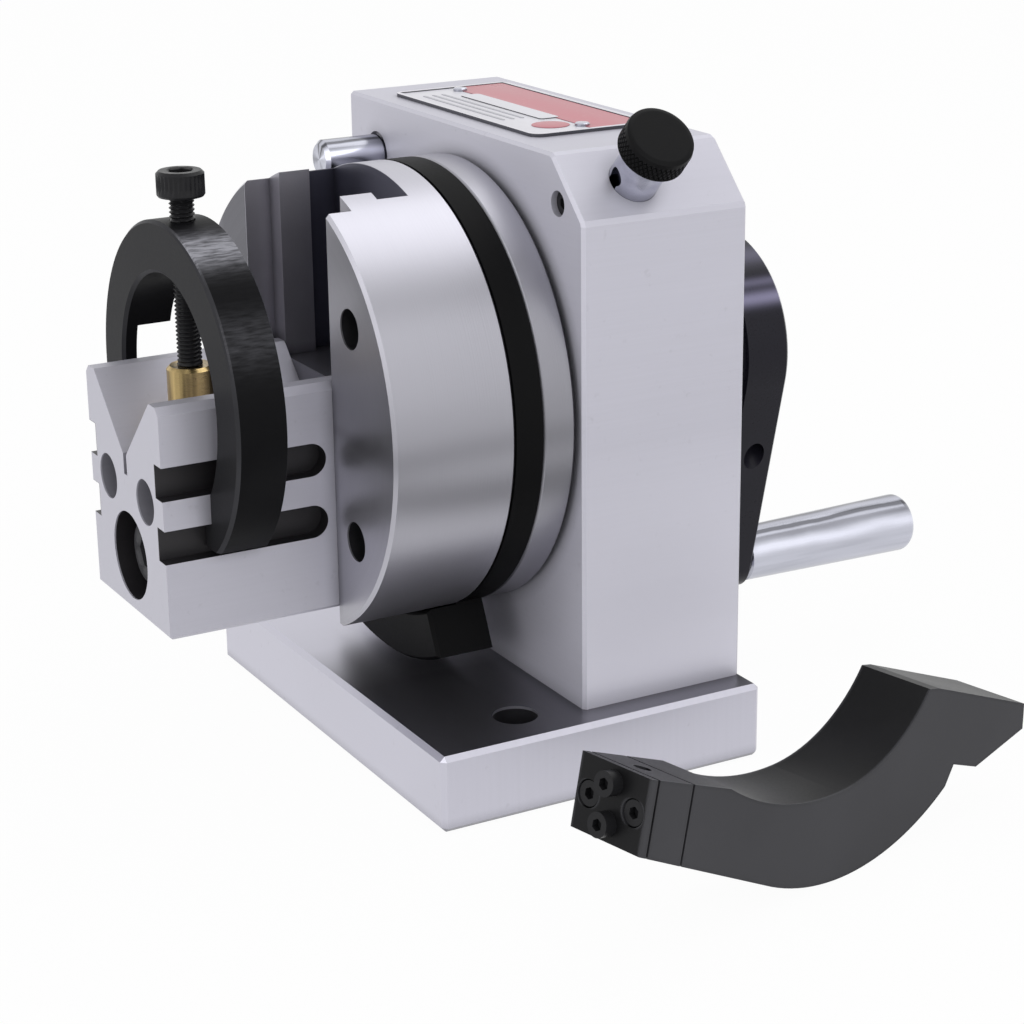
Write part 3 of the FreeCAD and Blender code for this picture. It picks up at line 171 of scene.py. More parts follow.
class Finish:
    """A material built from a Principled shader and a few calls."""

    def __init__(self, name, **constants):
        self.material = bpy.data.materials.new(name)
        self.material.use_nodes = True
        self.tree = self.material.node_tree
        self.shader = self.tree.nodes["Principled BSDF"]
        for socket, number in constants.items():
            self.shader.inputs[socket.replace("_", " ").title()].default_value = number
        self.place = self.node("ShaderNodeTexCoord", output="Object")

    def node(self, kind, settings=None, *values, output=0, **named):
        made = self.tree.nodes.new(kind)
        for setting, choice in (settings or {}).items():
            setattr(made, setting, choice)
        for index, value in enumerate(values):
            self.feed(made.inputs[index], value)
        for name, value in named.items():
            self.feed(made.inputs[name.replace("_", " ")], value)
        return Value(self, made.outputs[output])

    def feed(self, socket, value):
        if isinstance(value, Value):
            self.tree.links.new(value.socket, socket)
        else:
            socket.default_value = value

    def axis(self, letter):
        return self.node("ShaderNodeSeparateXYZ", None, self.place, output=letter)

    def facing(self, letter):
        """One part of the direction that the surface faces, without its bumps."""
        normal = self.node("ShaderNodeNewGeometry", output="Normal")
        return self.node("ShaderNodeSeparateXYZ", None, normal, output=letter)

    def noise(self, scale, stretch=(1.0, 1.0, 1.0), detail=4.0):
        spot = self.node("ShaderNodeVectorMath", {"operation": "MULTIPLY"}, self.place, stretch)
        return self.node("ShaderNodeTexNoise", None, output="Fac", Vector=spot, Scale=scale, Detail=detail)

    def mix(self, factor, first, second):
        made = self.tree.nodes.new("ShaderNodeMix")
        made.data_type = "RGBA"
        for key, value in ((0, factor), (6, first), (7, second)):
            self.feed(made.inputs[key], value)
        return Value(self, made.outputs[2])

    def set(self, **values):
        for name, value in values.items():
            self.feed(self.shader.inputs[name.replace("_", " ")], value)
        return self

    def bump(self, height, strength, distance):
        relief = {"Height": height, "Strength": strength, "Distance": distance}
        return self.set(Normal=self.node("ShaderNodeBump", None, **relief))


def tint(colour, factor):
    return tuple(min(1.0, channel * factor) for channel in colour[:3]) + (1.0,)


def shaded(finish, base, reach, depth):
    """The base colour with painted shade where other surfaces stand close."""
    open_sky = finish.node("ShaderNodeAmbientOcclusion", {"samples": 6}, output="AO", Distance=reach)
    return finish.mix((1.0 - open_sky) * depth, base, PAINTED_SHADE)


def angle_round(finish, y, z):
    """Angle round an axis along X through (y, z): 0 faces -Y, a quarter turn faces up."""
    across, up = -(finish.axis("Y") - y), finish.axis("Z") - z
    return finish.node("ShaderNodeMath", {"operation": "ARCTAN2"}, up, across)


def band(angle, at, sharpness):
    """1 along a line at an angle in degrees round a turned piece, fading to both sides."""
    return (angle - math.radians(at)).math("COSINE").math("MAXIMUM", 0.0) ** sharpness


def bands(angle, *rows):
    """Several bands together, each given as degrees, sharpness and strength."""
    return sum(band(angle, at, sharpness) * strength for at, sharpness, strength in rows)


def from_axis(finish, y, z):
    """Squared distance from an axis along X through (y, z)."""
    across, up = finish.axis("Y") - y, finish.axis("Z") - z
    return across * across + up * up


def within(value, low, high):
    """1 where a value lies between two limits, otherwise 0."""
    return (value > low) * (value < high)


def round_hole(across, up, radius):
    """1 inside a circle."""
    return (across * across + up * up) < radius ** 2


def ground_steel(name, colour, stretch, metal=0.9, rough=0.24, shade_depth=0.8, part=None, relief=0.06):
    """Surface-ground steel: fine parallel streaks, faint clouds and small handling marks, with painted shade
    where other surfaces stand close.
    """
    finish = Finish(name, metallic=metal, roughness=0.35)
    streaks = finish.noise(1.0, stretch, 6.0)
    clouds = finish.noise(18.0)
    marks = (finish.noise(420.0, detail=8.0) - 0.66).between(0.0, 1.0) * 3.0
    shade = (streaks * 0.55 + clouds * 0.45).between(0.0, 1.0)
    base = finish.mix(shade, tint(colour, 0.93), tint(colour, 1.06))
    base = finish.mix(marks.between(0.0, 0.25), base, tint(colour, 0.7))
    if part:
        share, part_colour = part(finish)
        base = finish.mix(share, base, part_colour)
    finish.set(Base_Color=shaded(finish, base, 4 * MM, shade_depth))
    finish.set(Roughness=streaks * 0.14 + clouds * 0.06 + rough)
    return finish.bump(streaks, relief, 0.0002).material


def turned_steel(name, colour, rings, part=None):
    """Steel turned about the spindle: concentric tool marks, painted highlight and shade in soft bands along
    its side, and painted shade where other surfaces stand close.
    """
    finish = Finish(name, metallic=0.85, roughness=0.3)
    radius = from_axis(finish, 0.0, AXIS_Z).math("SQRT")
    spot = finish.node("ShaderNodeCombineXYZ", None, X=radius * rings, Y=finish.axis("X") * rings, Z=0.0)
    marks = finish.node("ShaderNodeTexNoise", None, output="Fac", Vector=spot, Scale=1.0, Detail=6.0)
    clouds = finish.noise(14.0)
    angle = angle_round(finish, 0.0, AXIS_Z) + clouds * 0.08
    # Painted highlight and shade in bands by the angle round the spindle
    tone = 0.46 + bands(angle, (78.0, 7.0, 0.26), (-28.0, 12.0, 0.1), (16.0, 9.0, -0.3),
                        (39.0, 220.0, -0.12), (1.0, 420.0, -0.2), (-85.0, 7.0, -0.4))
    shade = (marks * 0.6 + clouds * 0.4).between(0.0, 1.0)
    base = finish.mix(tone.between(0.0, 1.0), tint(colour, 0.48), tint(colour, 1.36))
    base = finish.mix(shade * 0.3, base, tint(colour, 0.7))
    if part:
        base = part(finish, base)
    finish.set(Base_Color=shaded(finish, base, 3 * MM, 0.85))
    finish.set(Roughness=marks * 0.16 + clouds * 0.06 + 0.26)
    return finish.bump(marks, 0.15, 0.0002).material


def black_oxide(name, colour, roughness, side=None, side_tint=6.0, edge=0.1 * MM,
                highlight_part=None, sheen=0.15):
    """Chemically blacked steel: an even dark coat, paler in random worn spots and on the faces along a given
    side, with a painted highlight on chamfers and where a given mask lays one.
    """
    finish = Finish(name, metallic=0.0, roughness=roughness)
    finish.set(Specular_IOR_Level=sheen)
    clouds = finish.noise(30.0)
    grain = finish.noise(1500.0, detail=2.0)
    worn = (clouds - 0.5).between(0.0, 1.0) * 1.6
    base = finish.mix((worn + grain * 0.2).between(0.0, 1.0), tint(colour, 0.75), tint(colour, 1.7))
    if side:
        normal = finish.node("ShaderNodeBevel", {"samples": 10}, Radius=edge)
        dot = finish.node("ShaderNodeVectorMath", {"operation": "DOT_PRODUCT"}, normal, side, output="Value")
        facing = abs(dot)
        pale = finish.mix(clouds, tint(colour, side_tint * 0.8), tint(colour, side_tint * 1.2))
        base = finish.mix((facing * 4.0 - 3.0).between(0.0, 1.0), base, pale)
        # Painted highlight on the chamfers
        base = finish.mix(within(facing, 0.3, 0.9) * clouds, base, tint(colour, 9.0))
    if highlight_part:
        # Painted highlight where the given mask lays it
        base = finish.mix(highlight_part(finish), base, tint(colour, 38.0))
    finish.set(Base_Color=base, Roughness=grain * 0.1 + clouds * 0.14 + (roughness - 0.12))
    return finish.bump(grain, 0.1, 0.0001).material


def bow_rim_highlight(finish):
    """Painted highlight in a brushed-looking patch high on the clamp bow's rim."""
    angle = angle_round(finish, 0.0, RING_CENTRE_Z)
    rim = from_axis(finish, 0.0, RING_CENTRE_Z) > (RING_RADIUS - 0.4 * MM) ** 2
    highlight_streaks = finish.noise(1.0, (260.0, 1500.0, 1500.0), 4.0) * 1.6 - 0.3
    patch = bands(angle, (66.0, 110.0, 1.7), (128.0, 60.0, 0.5), (30.0, 90.0, 0.2))
    return rim * patch * highlight_streaks.between(0.0, 1.0)


def crank_highlight(finish):
    """Painted highlight bands round the crank's upper end."""
    angle = angle_round(finish, 0.0, AXIS_Z)
    rim = from_axis(finish, 0.0, AXIS_Z) > (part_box("crank")[1].y * 0.9) ** 2
    return rim * bands(angle, (60.0, 160.0, 0.16), (33.0, 420.0, 0.4), (42.0, 900.0, 0.2))


def polished_steel(name, colour, centre=None):
    """Hardened and polished steel: painted lines of reflection along it, faint wiping marks and painted shade
    where other surfaces stand close.
    """
    finish = Finish(name, metallic=1.0, roughness=0.16)
    wipes = finish.noise(1.0, (30.0, 500.0, 500.0), 4.0)
    smears = finish.noise(45.0)
    tone = 0.62 + (wipes - 0.5) * 0.35
    if centre:
        angle = angle_round(finish, *centre) + (smears - 0.5) * 0.35
        # Painted lines of reflection by the angle round the piece's axis
        tone = tone + bands(angle, (24.0, 40.0, 0.4), (64.0, 160.0, -0.75), (48.0, 24.0, -0.3),
                            (96.0, 90.0, -0.55), (-60.0, 20.0, -0.2), (190.0, 12.0, -0.35))
    base = finish.mix(tone.between(0.0, 1.0), tint(colour, 0.16), tint(colour, 1.2))
    finish.set(Base_Color=shaded(finish, base, 4 * MM, 0.6))
    finish.set(Roughness=wipes * 0.06 + smears * 0.08 + 0.12)
    return finish.bump(wipes, 0.04, 0.0001).material


def turned_brass(name, colour):
    """Turned brass, a little dulled, with darker stripes where it was wiped."""
    finish = Finish(name, metallic=1.0, roughness=0.25)
    lines = finish.noise(1.0, (60.0, 60.0, 5200.0), 3.0)
    stripes = finish.noise(1.0, (420.0, 420.0, 3.0), 2.0)
    dull = finish.noise(160.0)
    base = finish.mix(dull, tint(colour, 0.8), tint(colour, 1.1))
    finish.set(Base_Color=finish.mix((stripes * 3.6 - 1.35).between(0.0, 1.0), tint(colour, 0.3), base))
    finish.set(Roughness=lines * 0.12 + dull * 0.14 + 0.16)
    return finish.bump(lines, 0.08, 0.0001).material


def enamel(name, colour, specks_from, shade_depth=0.9, walls=0.0):
    """Enamel or bare metal of the name plate, with a soft worn sheen and painted shade where other surfaces
    stand close; its upright walls may be darker.
    """
    finish = Finish(name, metallic=0.0, roughness=0.3)
    sheen = finish.noise(1.0, (60.0, 14.0, 1.0), 3.0)
    specks = finish.noise(900.0, detail=6.0)
    base = finish.mix(sheen, tint(colour, 0.85), tint(colour, 1.2))
    worn = (specks - specks_from).between(0.0, 0.6)
    base = finish.mix(worn, base, BARE_METAL)
    upright = finish.facing("Z") < 0.9
    base = finish.mix(upright * walls, base, PLATE_WALL)
    finish.set(Base_Color=shaded(finish, base, 2 * MM, shade_depth))
    finish.set(Roughness=sheen * 0.2 + 0.2)
    return finish.bump(specks, 0.05, 0.0001).material


def vee_block_shade(finish):
    """Painted shade on the walls of the vee block's side slots and of its three counterbores."""
    x, y, z = finish.axis("X"), finish.axis("Y"), finish.axis("Z")
    depth = BLOCK_HIGH.y - abs(y)
    height = BLOCK_HIGH.z - z
    rows = [within(height, drop - SLOT_HEIGHT * 0.51, drop + SLOT_HEIGHT * 0.51) for drop in SLOT_DROPS]
    before_end = x < BLOCK_LOW.x + SLOT_END
    slots = (rows[0] + rows[1]) * within(depth, SLOT_SKIN, SLOT_DEPTH) * before_end
    behind_face = x > BLOCK_LOW.x + BORE_SKIN
    bore = round_hole(y, z - middle("lock_screw").z, LOCK_BORE) * behind_face
    across = abs(y) - (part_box("block_screws")[1].y - SMALL_HEAD)
    small_bores = round_hole(across, z - middle("block_screws").z, SMALL_BORE) * behind_face
    return (slots + bore + small_bores * 0.45).between(0.0, 1.0), SHADE_AND_DARK_REFLECTION


def base_reflection_and_shade(finish):
    """A painted dark reflection on the near part of the base's top, and painted shade inside its holes."""
    facing_up = finish.facing("Z") > 0.95
    x, y, z = finish.axis("X"), finish.axis("Y"), finish.axis("Z")
    high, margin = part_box("base_plate")[1], 3 * MM
    holes = (abs(x) < high.x - margin) * (abs(y) < high.y - margin) * (z < high.z - 0.7 * MM)
    dark_reflection = facing_up * ((REFLECTION_EDGE - y) * REFLECTION_RISE).between(0.0, 1.0) * 0.68
    return dark_reflection.math("MAXIMUM", holes * 0.85), SHADE_AND_DARK_REFLECTION


def foot_painted_light(finish):
    """Painted light on the upright's front, paler towards its foot."""
    front = finish.facing("Y") < -0.9
    return front * ((PAINTED_LIGHT_BELOW - finish.axis("Z")) / PAINTED_LIGHT_FADE).between(0.0, 1.0), PAINTED_LIGHT_STEEL


def tee_slot(finish, base):
    """The faceplate's stepped slot with painted shade, darker the deeper it lies, and painted shade in its
    screw bores and on its far cheek.
    """
    y, z = finish.axis("Y"), finish.axis("Z") - AXIS_Z
    inside = (abs(y) < TEE_HALF) * round_hole(y, z, FACE_HIGH.y - 0.15 * MM)
    depth = finish.axis("X") - FACE_LOW.x
    clouds = finish.noise(60.0)
    shallow = finish.mix(clouds, (0.30, 0.29, 0.33, 1.0), (0.42, 0.41, 0.46, 1.0))
    deep = finish.mix(clouds, (0.07, 0.07, 0.10, 1.0), (0.12, 0.12, 0.16, 1.0))
    inwards = ((FACE_HIGH.y + 4 * MM - y) / (26 * MM)).between(0.0, 0.85)
    base = finish.mix((y > TEE_HALF) * (depth < 0.1 * MM) * inwards, base, CHEEK_SHADE)
    bores = round_hole(abs(y) - FACE_SCREW_OUT, abs(z) - FACE_SCREW_UP, FACE_SCREW_BORE)
    base = finish.mix(bores * (depth > BORE_SKIN) * 0.9, base, BORE_SHADE)
    base = finish.mix(inside * (depth > SLOT_SKIN), base, shallow)
    return finish.mix(inside * (depth > TEE_STEP), base, deep)


# Mesh helpers. Lengths are in metres. A turned mesh is built about +Z and then put in place.

def finished(name, mesh_maker, material, body, smooth=True):
    mesh = bpy.data.meshes.new(name)
    piece = bpy.data.objects.new(name, mesh)
    bpy.context.scene.collection.objects.link(piece)
    shape = bmesh.new()
    mesh_maker(shape)
    bmesh.ops.recalc_face_normals(shape, faces=shape.faces)
    shape.to_mesh(mesh)
    shape.free()
    for face in mesh.polygons:
        face.use_smooth = smooth
    if smooth:
        mesh.set_sharp_from_angle(angle=math.radians(32))
    mesh.materials.append(material)
    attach(piece, body)
    return piece


def turn(shape, profile, segments, place, radius_at=None):
    """Turn a closed profile of (radius, height) pairs; radius_at may change a radius by angle."""
    rings = []
    for radius, height in profile:
        ring = []
        for i in range(segments):
            angle = 2 * math.pi * i / segments
            r = radius_at(radius, height, angle) if radius_at else radius
            ring.append(shape.verts.new(place @ Vector((r * math.cos(angle), r * math.sin(angle), height))))
        rings.append(ring)
    for lower, upper in zip(rings, rings[1:]):
        for i in range(segments):
            j = (i + 1) % segments
            shape.faces.new((lower[i], lower[j], upper[j], upper[i]))
    shape.faces.new(list(reversed(rings[0])))
    shape.faces.new(rings[-1])


def standing(centre, direction):
    """The placement that sets a turned mesh at a centre, pointing along a direction."""
    return Matrix.Translation(centre) @ Vector(direction).to_track_quat("Z", "Y").to_matrix().to_4x4()


def hexagon_radius(flat, angle):
    return flat / math.cos((angle % (math.pi / 3)) - math.pi / 6)


def cap_head(shape, radius, height, socket, teeth, place):
    """Cap screw head: knurled side, chamfered top edge and a hexagon socket."""
    depth, knurl, edge = height * 0.55, radius * 0.045, radius * 0.12
    low, high = height * 0.16, height - edge

    def radius_at(r, z, angle):
        if r == socket:
            return hexagon_radius(socket * 0.9, angle)
        if r == radius and low < z < high:
            return r - knurl * (0.5 + 0.5 * math.cos(teeth * angle))
        return r

    step = (high - low) / 6
    side = [(radius, low + step * i) for i in range(1, 6)]
    profile = [(radius * 0.94, 0.0), (radius, low * 0.5), (radius, low)] + side + [
        (radius, high), (radius - edge, height), (socket * 1.12, height), (socket, height - edge * 0.5),
        (socket, height - depth), (socket * 0.2, height - depth * 1.15)]
    turn(shape, profile, teeth * 4, place, radius_at)


def thread(shape, radius, pitch, length, place):
    """A 60 degree screw thread along a rod."""
    steps, segments = 8, 32
    depth = pitch * 0.55
    rows = int(length / pitch * steps)

    def radius_at(r, z, angle):
        phase = (z / pitch - angle / (2 * math.pi)) % 1.0
        inside = min(z, length - z)
        fade = min(1.0, max(0.0, inside / pitch))
        return r - depth * abs(2 * phase - 1) * fade

    turn(shape, [(radius, length * i / rows) for i in range(rows + 1)], segments, place, radius_at)


def diamond_knurl(radius, height, angle, low, high, teeth, depth, lead):
    """Radius of a diamond-knurled side."""
    if not low < height < high:
        return radius
    turns = height / lead
    one = abs(math.sin(teeth * angle / 2 + turns * math.pi))
    two = abs(math.sin(teeth * angle / 2 - turns * math.pi))
    return radius - depth * (1 - min(1.0, min(one, two) * 1.6))


# What a user may change

class PunchFormerFinishes(bpy.types.PropertyGroup):
    steel: bpy.props.FloatVectorProperty(
        name="Ground steel", description="Colour of the ground and turned steel",
        subtype="COLOR", size=3, min=0, max=1, default=(0.585, 0.578, 0.655))
    disc: bpy.props.FloatVectorProperty(
        name="Turned steel", description="Colour of the faceplate and the spindle's flange",
        subtype="COLOR", size=3, min=0, max=1, default=(0.50, 0.495, 0.55))
    black: bpy.props.FloatVectorProperty(
        name="Black oxide", description="Colour of the blacked steel",
        subtype="COLOR", size=3, min=0, max=1, default=(0.009, 0.009, 0.010))
    polished: bpy.props.FloatVectorProperty(
        name="Polished steel", description="Colour of the handle, the stop pin and the plunger",
        subtype="COLOR", size=3, min=0, max=1, default=(0.65, 0.66, 0.75))
    brass: bpy.props.FloatVectorProperty(
        name="Brass", description="Colour of the clamp screw's pad",
        subtype="COLOR", size=3, min=0, max=1, default=(0.70, 0.52, 0.24))
    red: bpy.props.FloatVectorProperty(
        name="Plate red", description="Colour of the name plate's red field",
        subtype="COLOR", size=3, min=0, max=1, default=(0.50, 0.115, 0.15))


class PunchFormerSizes(bpy.types.PropertyGroup):
    thread_pitch: bpy.props.FloatProperty(
        name="Clamp thread pitch", description="Distance between the clamp screw's threads",
        unit="LENGTH", default=1.0 * MM, min=0.2 * MM, max=3 * MM)
    clamp_teeth: bpy.props.IntProperty(
        name="Clamp head teeth", description="Knurl teeth round a cap head", default=30, min=12, max=60)
    knob_teeth: bpy.props.IntProperty(
        name="Knob teeth", description="Knurl teeth round the plunger's knob", default=44, min=16, max=80)
    knurl_depth: bpy.props.FloatProperty(
        name="Knurl depth", description="Depth of the knob's knurl",
        unit="LENGTH", default=0.45 * MM, min=0.0, max=1 * MM)


class PunchFormerStudio(bpy.types.PropertyGroup):
    key_power: bpy.props.FloatProperty(
        name="Key light", description="Power of the large lamp on the camera's side", default=4.5, min=0)
    fill_power: bpy.props.FloatProperty(
        name="Fill light", description="Power of the lamp over the work", default=2.4, min=0)
    side_power: bpy.props.FloatProperty(
        name="Side light", description="Power of the wide lamp on the work's side", default=5.0, min=0)
    sky: bpy.props.FloatProperty(
        name="Room light", description="Strength of the light from all round", default=0.6, min=0)


def sizes():
    return bpy.context.scene.punch_former_sizes


FINISHES = {}


def finish(name):
    return FINISHES[name]


class PF_OT_finishes(bpy.types.Operator):
    """Make the finishes and put them on the solids of the frame"""
    bl_idname = "punch_former.finishes"
    bl_label = "Finish the solids"

    def execute(self, context):
        chosen = context.scene.punch_former_finishes
        steel, disc, black = tuple(chosen.steel), tuple(chosen.disc), tuple(chosen.black)
        polish = tuple(chosen.polished)
        blued = (black[0] * 1.9, black[1] * 1.8, black[2] * 2.4)
        FINISHES.update({
            "column": ground_steel("GroundColumn", steel, (30.0, 30.0, 1600.0), metal=0.28, rough=0.34,
                                   shade_depth=0.5, part=foot_painted_light),
            "base": ground_steel("GroundBase", tint(steel, 0.99), (900.0, 20.0, 20.0), part=base_reflection_and_shade,
                                 relief=0.01),
            "vee": ground_steel("GroundVee", tint(steel, 0.88), (40.0, 1400.0, 1400.0), metal=0.35,
                                rough=0.3, shade_depth=0.6, part=vee_block_shade),
            "disc": turned_steel("TurnedDisc", disc, 2600.0, tee_slot),
            "flange": turned_steel("TurnedFlange", tint(disc, 0.8), 3400.0),
            "black": black_oxide("BlackOxide", tint(black, 0.7), 0.38, sheen=0.08),
            "black_bow": black_oxide("BlackOxideBow", black, 0.36, BOW_SIDE, 2.2, highlight_part=bow_rim_highlight,
                                     sheen=0.03),
            "black_crank": black_oxide("BlackOxideCrank", blued, 0.3, highlight_part=crank_highlight),
            # A darker copy of the black oxide: painted shade on the stop ring and lock nut
            "black_in_shade": black_oxide("BlackInShade", tint(black, 0.5), 0.5, sheen=0.06),
            "black_arm": black_oxide("BlackOxideArm", black, 0.38, ARM_SIDE, 6.0, 1.5 * MM, sheen=0.12),
            "black_screw": black_oxide("BlackScrew", tint(black, 2.0), 0.34),
            "lock_head": black_oxide("BlackLockScrew", tint(black, 6.0), 0.34),
            "polished": polished_steel("Polished", polish),
            "pin": polished_steel("PolishedPin", polish, (middle("stop_pin").y, middle("stop_pin").z)),
            "handle": polished_steel("PolishedHandle", polish, (middle("handle").y, middle("handle").z)),
            "slider": ground_steel("GroundSlider", tint(steel, 0.35), (60.0, 60.0, 1500.0)),
            "bronze": turned_brass("Bronze", (0.42, 0.26, 0.12)),
            "brass": turned_brass("Brass", tuple(chosen.brass)),
            "plate": enamel("PlateMetal", (0.72, 0.71, 0.77), 0.6, 0.5, 1.0),
            "line": enamel("PlateLine", (0.42, 0.42, 0.47), 0.6, 0.2),
            "red": enamel("PlateRed", tuple(chosen.red), 0.62),
        })
        uses = {
            "column": ["column"], "base": ["base_plate"], "vee": ["vee_block"], "disc": ["faceplate"],
            "flange": ["spindle"], "black": ["knob"], "black_bow": ["clamp_bow"], "black_crank": ["crank"],
            "black_in_shade": ["stop_ring", "lock_nut"],
            "black_arm": ["dresser_arm", "tool_block", "end_plate"],
            "black_screw": ["foot_screws", "rear_cover_screws", "guide_screw", "faceplate_screws",
                            "crank_set_screw", "handle_bolt", "block_screws", "lock_screw",
                            "clamp_screw", "arm_screws", "tool_screws"],
            "polished": ["plunger", "index_wheel", "index_key", "foot_dowels", "rear_cover"],
            "pin": ["stop_pin"], "handle": ["handle"],
            "slider": ["tee_slider"], "bronze": ["front_bush", "rear_bush"], "brass": ["brass_pad"],
            "plate": ["name_plate", "name_plate_rivets"],
        }
        for key, nodes in uses.items():
            for node in nodes:
                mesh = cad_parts[node].data
                mesh.materials.clear()
                mesh.materials.append(FINISHES[key])
        return {"FINISHED"}


class PF_OT_clamp_screw(bpy.types.Operator):
    """Knurled head and cut thread of the clamp screw"""
    bl_idname = "punch_former.clamp_screw"
    bl_label = "Clamp screw"

    def execute(self, context):
        low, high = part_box("clamp_screw")
        head_height, socket, rod, tip = 6 * MM, 2.9 * MM, 3 * MM, 2 * MM
        radius = (high.x - low.x) / 2
        head_low = high.z - head_height
        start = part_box("brass_pad")[1].z + 0.2 * MM

        def at_height(z):
            return Matrix.Translation(((low.x + high.x) / 2, (low.y + high.y) / 2, z))

        def build(shape):
            cap_head(shape, radius, head_height, socket, sizes().clamp_teeth, at_height(head_low))
            thread(shape, rod, sizes().thread_pitch, head_low - start, at_height(start))
            turn(shape, [(tip, 0.0), (tip, start - low.z)], 24, at_height(low.z))

        piece = finished("clamp_screw_cut", build, finish("black_screw"), "clamp_screw")
        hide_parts("clamp_screw")
        return {"FINISHED"}


class PF_OT_knob(bpy.types.Operator):
    """Diamond-knurled knob of the index plunger"""
    bl_idname = "punch_former.knob"
    bl_label = "Plunger knob"

    def execute(self, context):
        out = Vector((0, -1, 1)).normalized()
        low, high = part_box("knob")
        radius = (high.x - low.x) / 2
        length = (high.y - low.y) * math.sqrt(2) - 2 * radius
        edge, foot_edge = 1.0 * MM, 0.8 * MM
        low_edge, high_edge = 0.9 * MM, length - 1.3 * MM
        stud, stud_depth = 5.05 * MM, 6.0 * MM
        rows, lead = 28, 2.0 * MM

        def radius_at(r, z, angle):
            if r < radius * 0.99:
                return r
            return diamond_knurl(r, z, angle, low_edge, high_edge, sizes().knob_teeth,
                                 sizes().knurl_depth, lead)

        side = [(radius, low_edge + (high_edge - low_edge) * i / rows) for i in range(rows + 1)]
        foot = [(stud, stud_depth), (stud, 0.0), (radius - foot_edge, 0.0), (radius, foot_edge)]
        crown = [(radius - 0.25 * edge, length - 0.35 * edge), (radius - edge, length),
                 (radius - 1.5 * edge, length), (radius * 0.7, length), (radius * 0.3, length)]
        place = standing(middle("knob") - out * length / 2, out)

        def build(shape):
            turn(shape, foot + side + crown, sizes().knob_teeth * 6, place, radius_at)

        piece = finished("knob_knurled", build, finish("black"), "plunger")
        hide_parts("knob")
        return {"FINISHED"}


class PF_OT_lock_screw(bpy.types.Operator):
    """Knurled cap head of the vee block's lock screw"""
    bl_idname = "punch_former.lock_screw"
    bl_label = "Lock screw"

    def execute(self, context):
        low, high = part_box("lock_screw")
        head_height, socket, shank, teeth = 10 * MM, 4.4 * MM, 5 * MM, 36
        seat = Vector((low.x + head_height, 0.0, (low.z + high.z) / 2))
        radius = (high.z - low.z) / 2

        def lock(shape):
            cap_head(shape, radius, head_height, socket, teeth, standing(seat, (-1, 0, 0)))
            turn(shape, [(shank, 0.0), (shank, high.x - seat.x)], 40, standing(seat, (1, 0, 0)))

        piece = finished("lock_screw_cap", lock, finish("lock_head"), "block")
        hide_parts("lock_screw")
        return {"FINISHED"}


class PF_OT_name_plate(bpy.types.Operator):
    """Enamel fields, bare strip, blank disc and rivet heads of the name plate"""
    bl_idname = "punch_former.name_plate"
    bl_label = "Name plate"

    def execute(self, context):
        plate_low, plate_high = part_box("name_plate")
        rivets_low, rivets_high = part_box("name_plate_rivets")
        margin, recess_floor, rivet_radius = 1.7 * MM, 0.8 * MM * 2 / 3, 1.8 * MM
        floor = plate_low.z + recess_floor
        x0, x1 = plate_low.x + margin, plate_high.x - margin
        y0, y1 = plate_low.y + margin, plate_high.y - margin
        width, length = x1 - x0, y1 - y0
        split = x0 + width * 0.5

        def field(name, look, xs, ys, height):
            maker = plate_field(xs, ys, floor, height)
            finished(name, maker, finish(look), "base", smooth=False)

        field("plate_red_field", "red", (split, x1), (y0, y1), 0.14 * MM)
        field("plate_strip", "plate", (split - width * 0.14, split + width * 0.04),
              (y0 + length * 0.24, y1 - length * 0.17), 0.22 * MM)
        for i in range(3):
            row = x0 + width * (0.08 + 0.09 * i)
            field(f"plate_line_{i}", "line", (row, row + width * 0.03),
                  (y0 + length * 0.3, y1 - length * 0.1), 0.1 * MM)

        def disc(shape):
            radius, thick = 4.6 * MM, 0.18 * MM
            profile = [(radius, 0.0), (radius, thick * 2 / 3), (radius - 0.3 * MM, thick), (0.5 * MM, thick)]
            turn(shape, profile, 48, Matrix.Translation((x0 + width * 0.30, y0 + length * 0.13, floor)))

        finished("plate_disc", disc, finish("red"), "base")

        def heads(shape):
            dome = [(1.55 * MM, 0.8 * MM), (0.9 * MM, 0.9 * MM), (0.3 * MM, 0.92 * MM)]
            profile = [(rivet_radius, 0.0), (rivet_radius, 0.55 * MM)] + dome
            for y in (rivets_low.y + rivet_radius, rivets_high.y - rivet_radius):
                turn(shape, profile, 32, Matrix.Translation((middle("name_plate_rivets").x, y, floor)))

        piece = finished("rivet_heads", heads, finish("polished"), "base")
        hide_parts("name_plate_rivets")
        return {"FINISHED"}


def plate_field(xs, ys, floor, height):
    """A mesh maker for a thin raised field with rounded corners."""
    radius = min(1.0 * MM, (xs[1] - xs[0]) * 0.48)
    steps = 6
    corners = [(xs[1] - radius, ys[1] - radius, 0), (xs[0] + radius, ys[1] - radius, 90),
               (xs[0] + radius, ys[0] + radius, 180), (xs[1] - radius, ys[0] + radius, 270)]
    outline = []
    for x, y, start in corners:
        for i in range(steps + 1):
            angle = math.radians(start + 90 / steps * i)
            outline.append((x + radius * math.cos(angle), y + radius * math.sin(angle)))

    def build(shape):
        lower = [shape.verts.new((x, y, floor)) for x, y in outline]
        upper = [shape.verts.new((x, y, floor + height)) for x, y in outline]
        count = len(outline)
        for i in range(count):
            j = (i + 1) % count
            shape.faces.new((lower[i], lower[j], upper[j], upper[i]))
        shape.faces.new(upper)
        shape.faces.new(list(reversed(lower)))
    return build


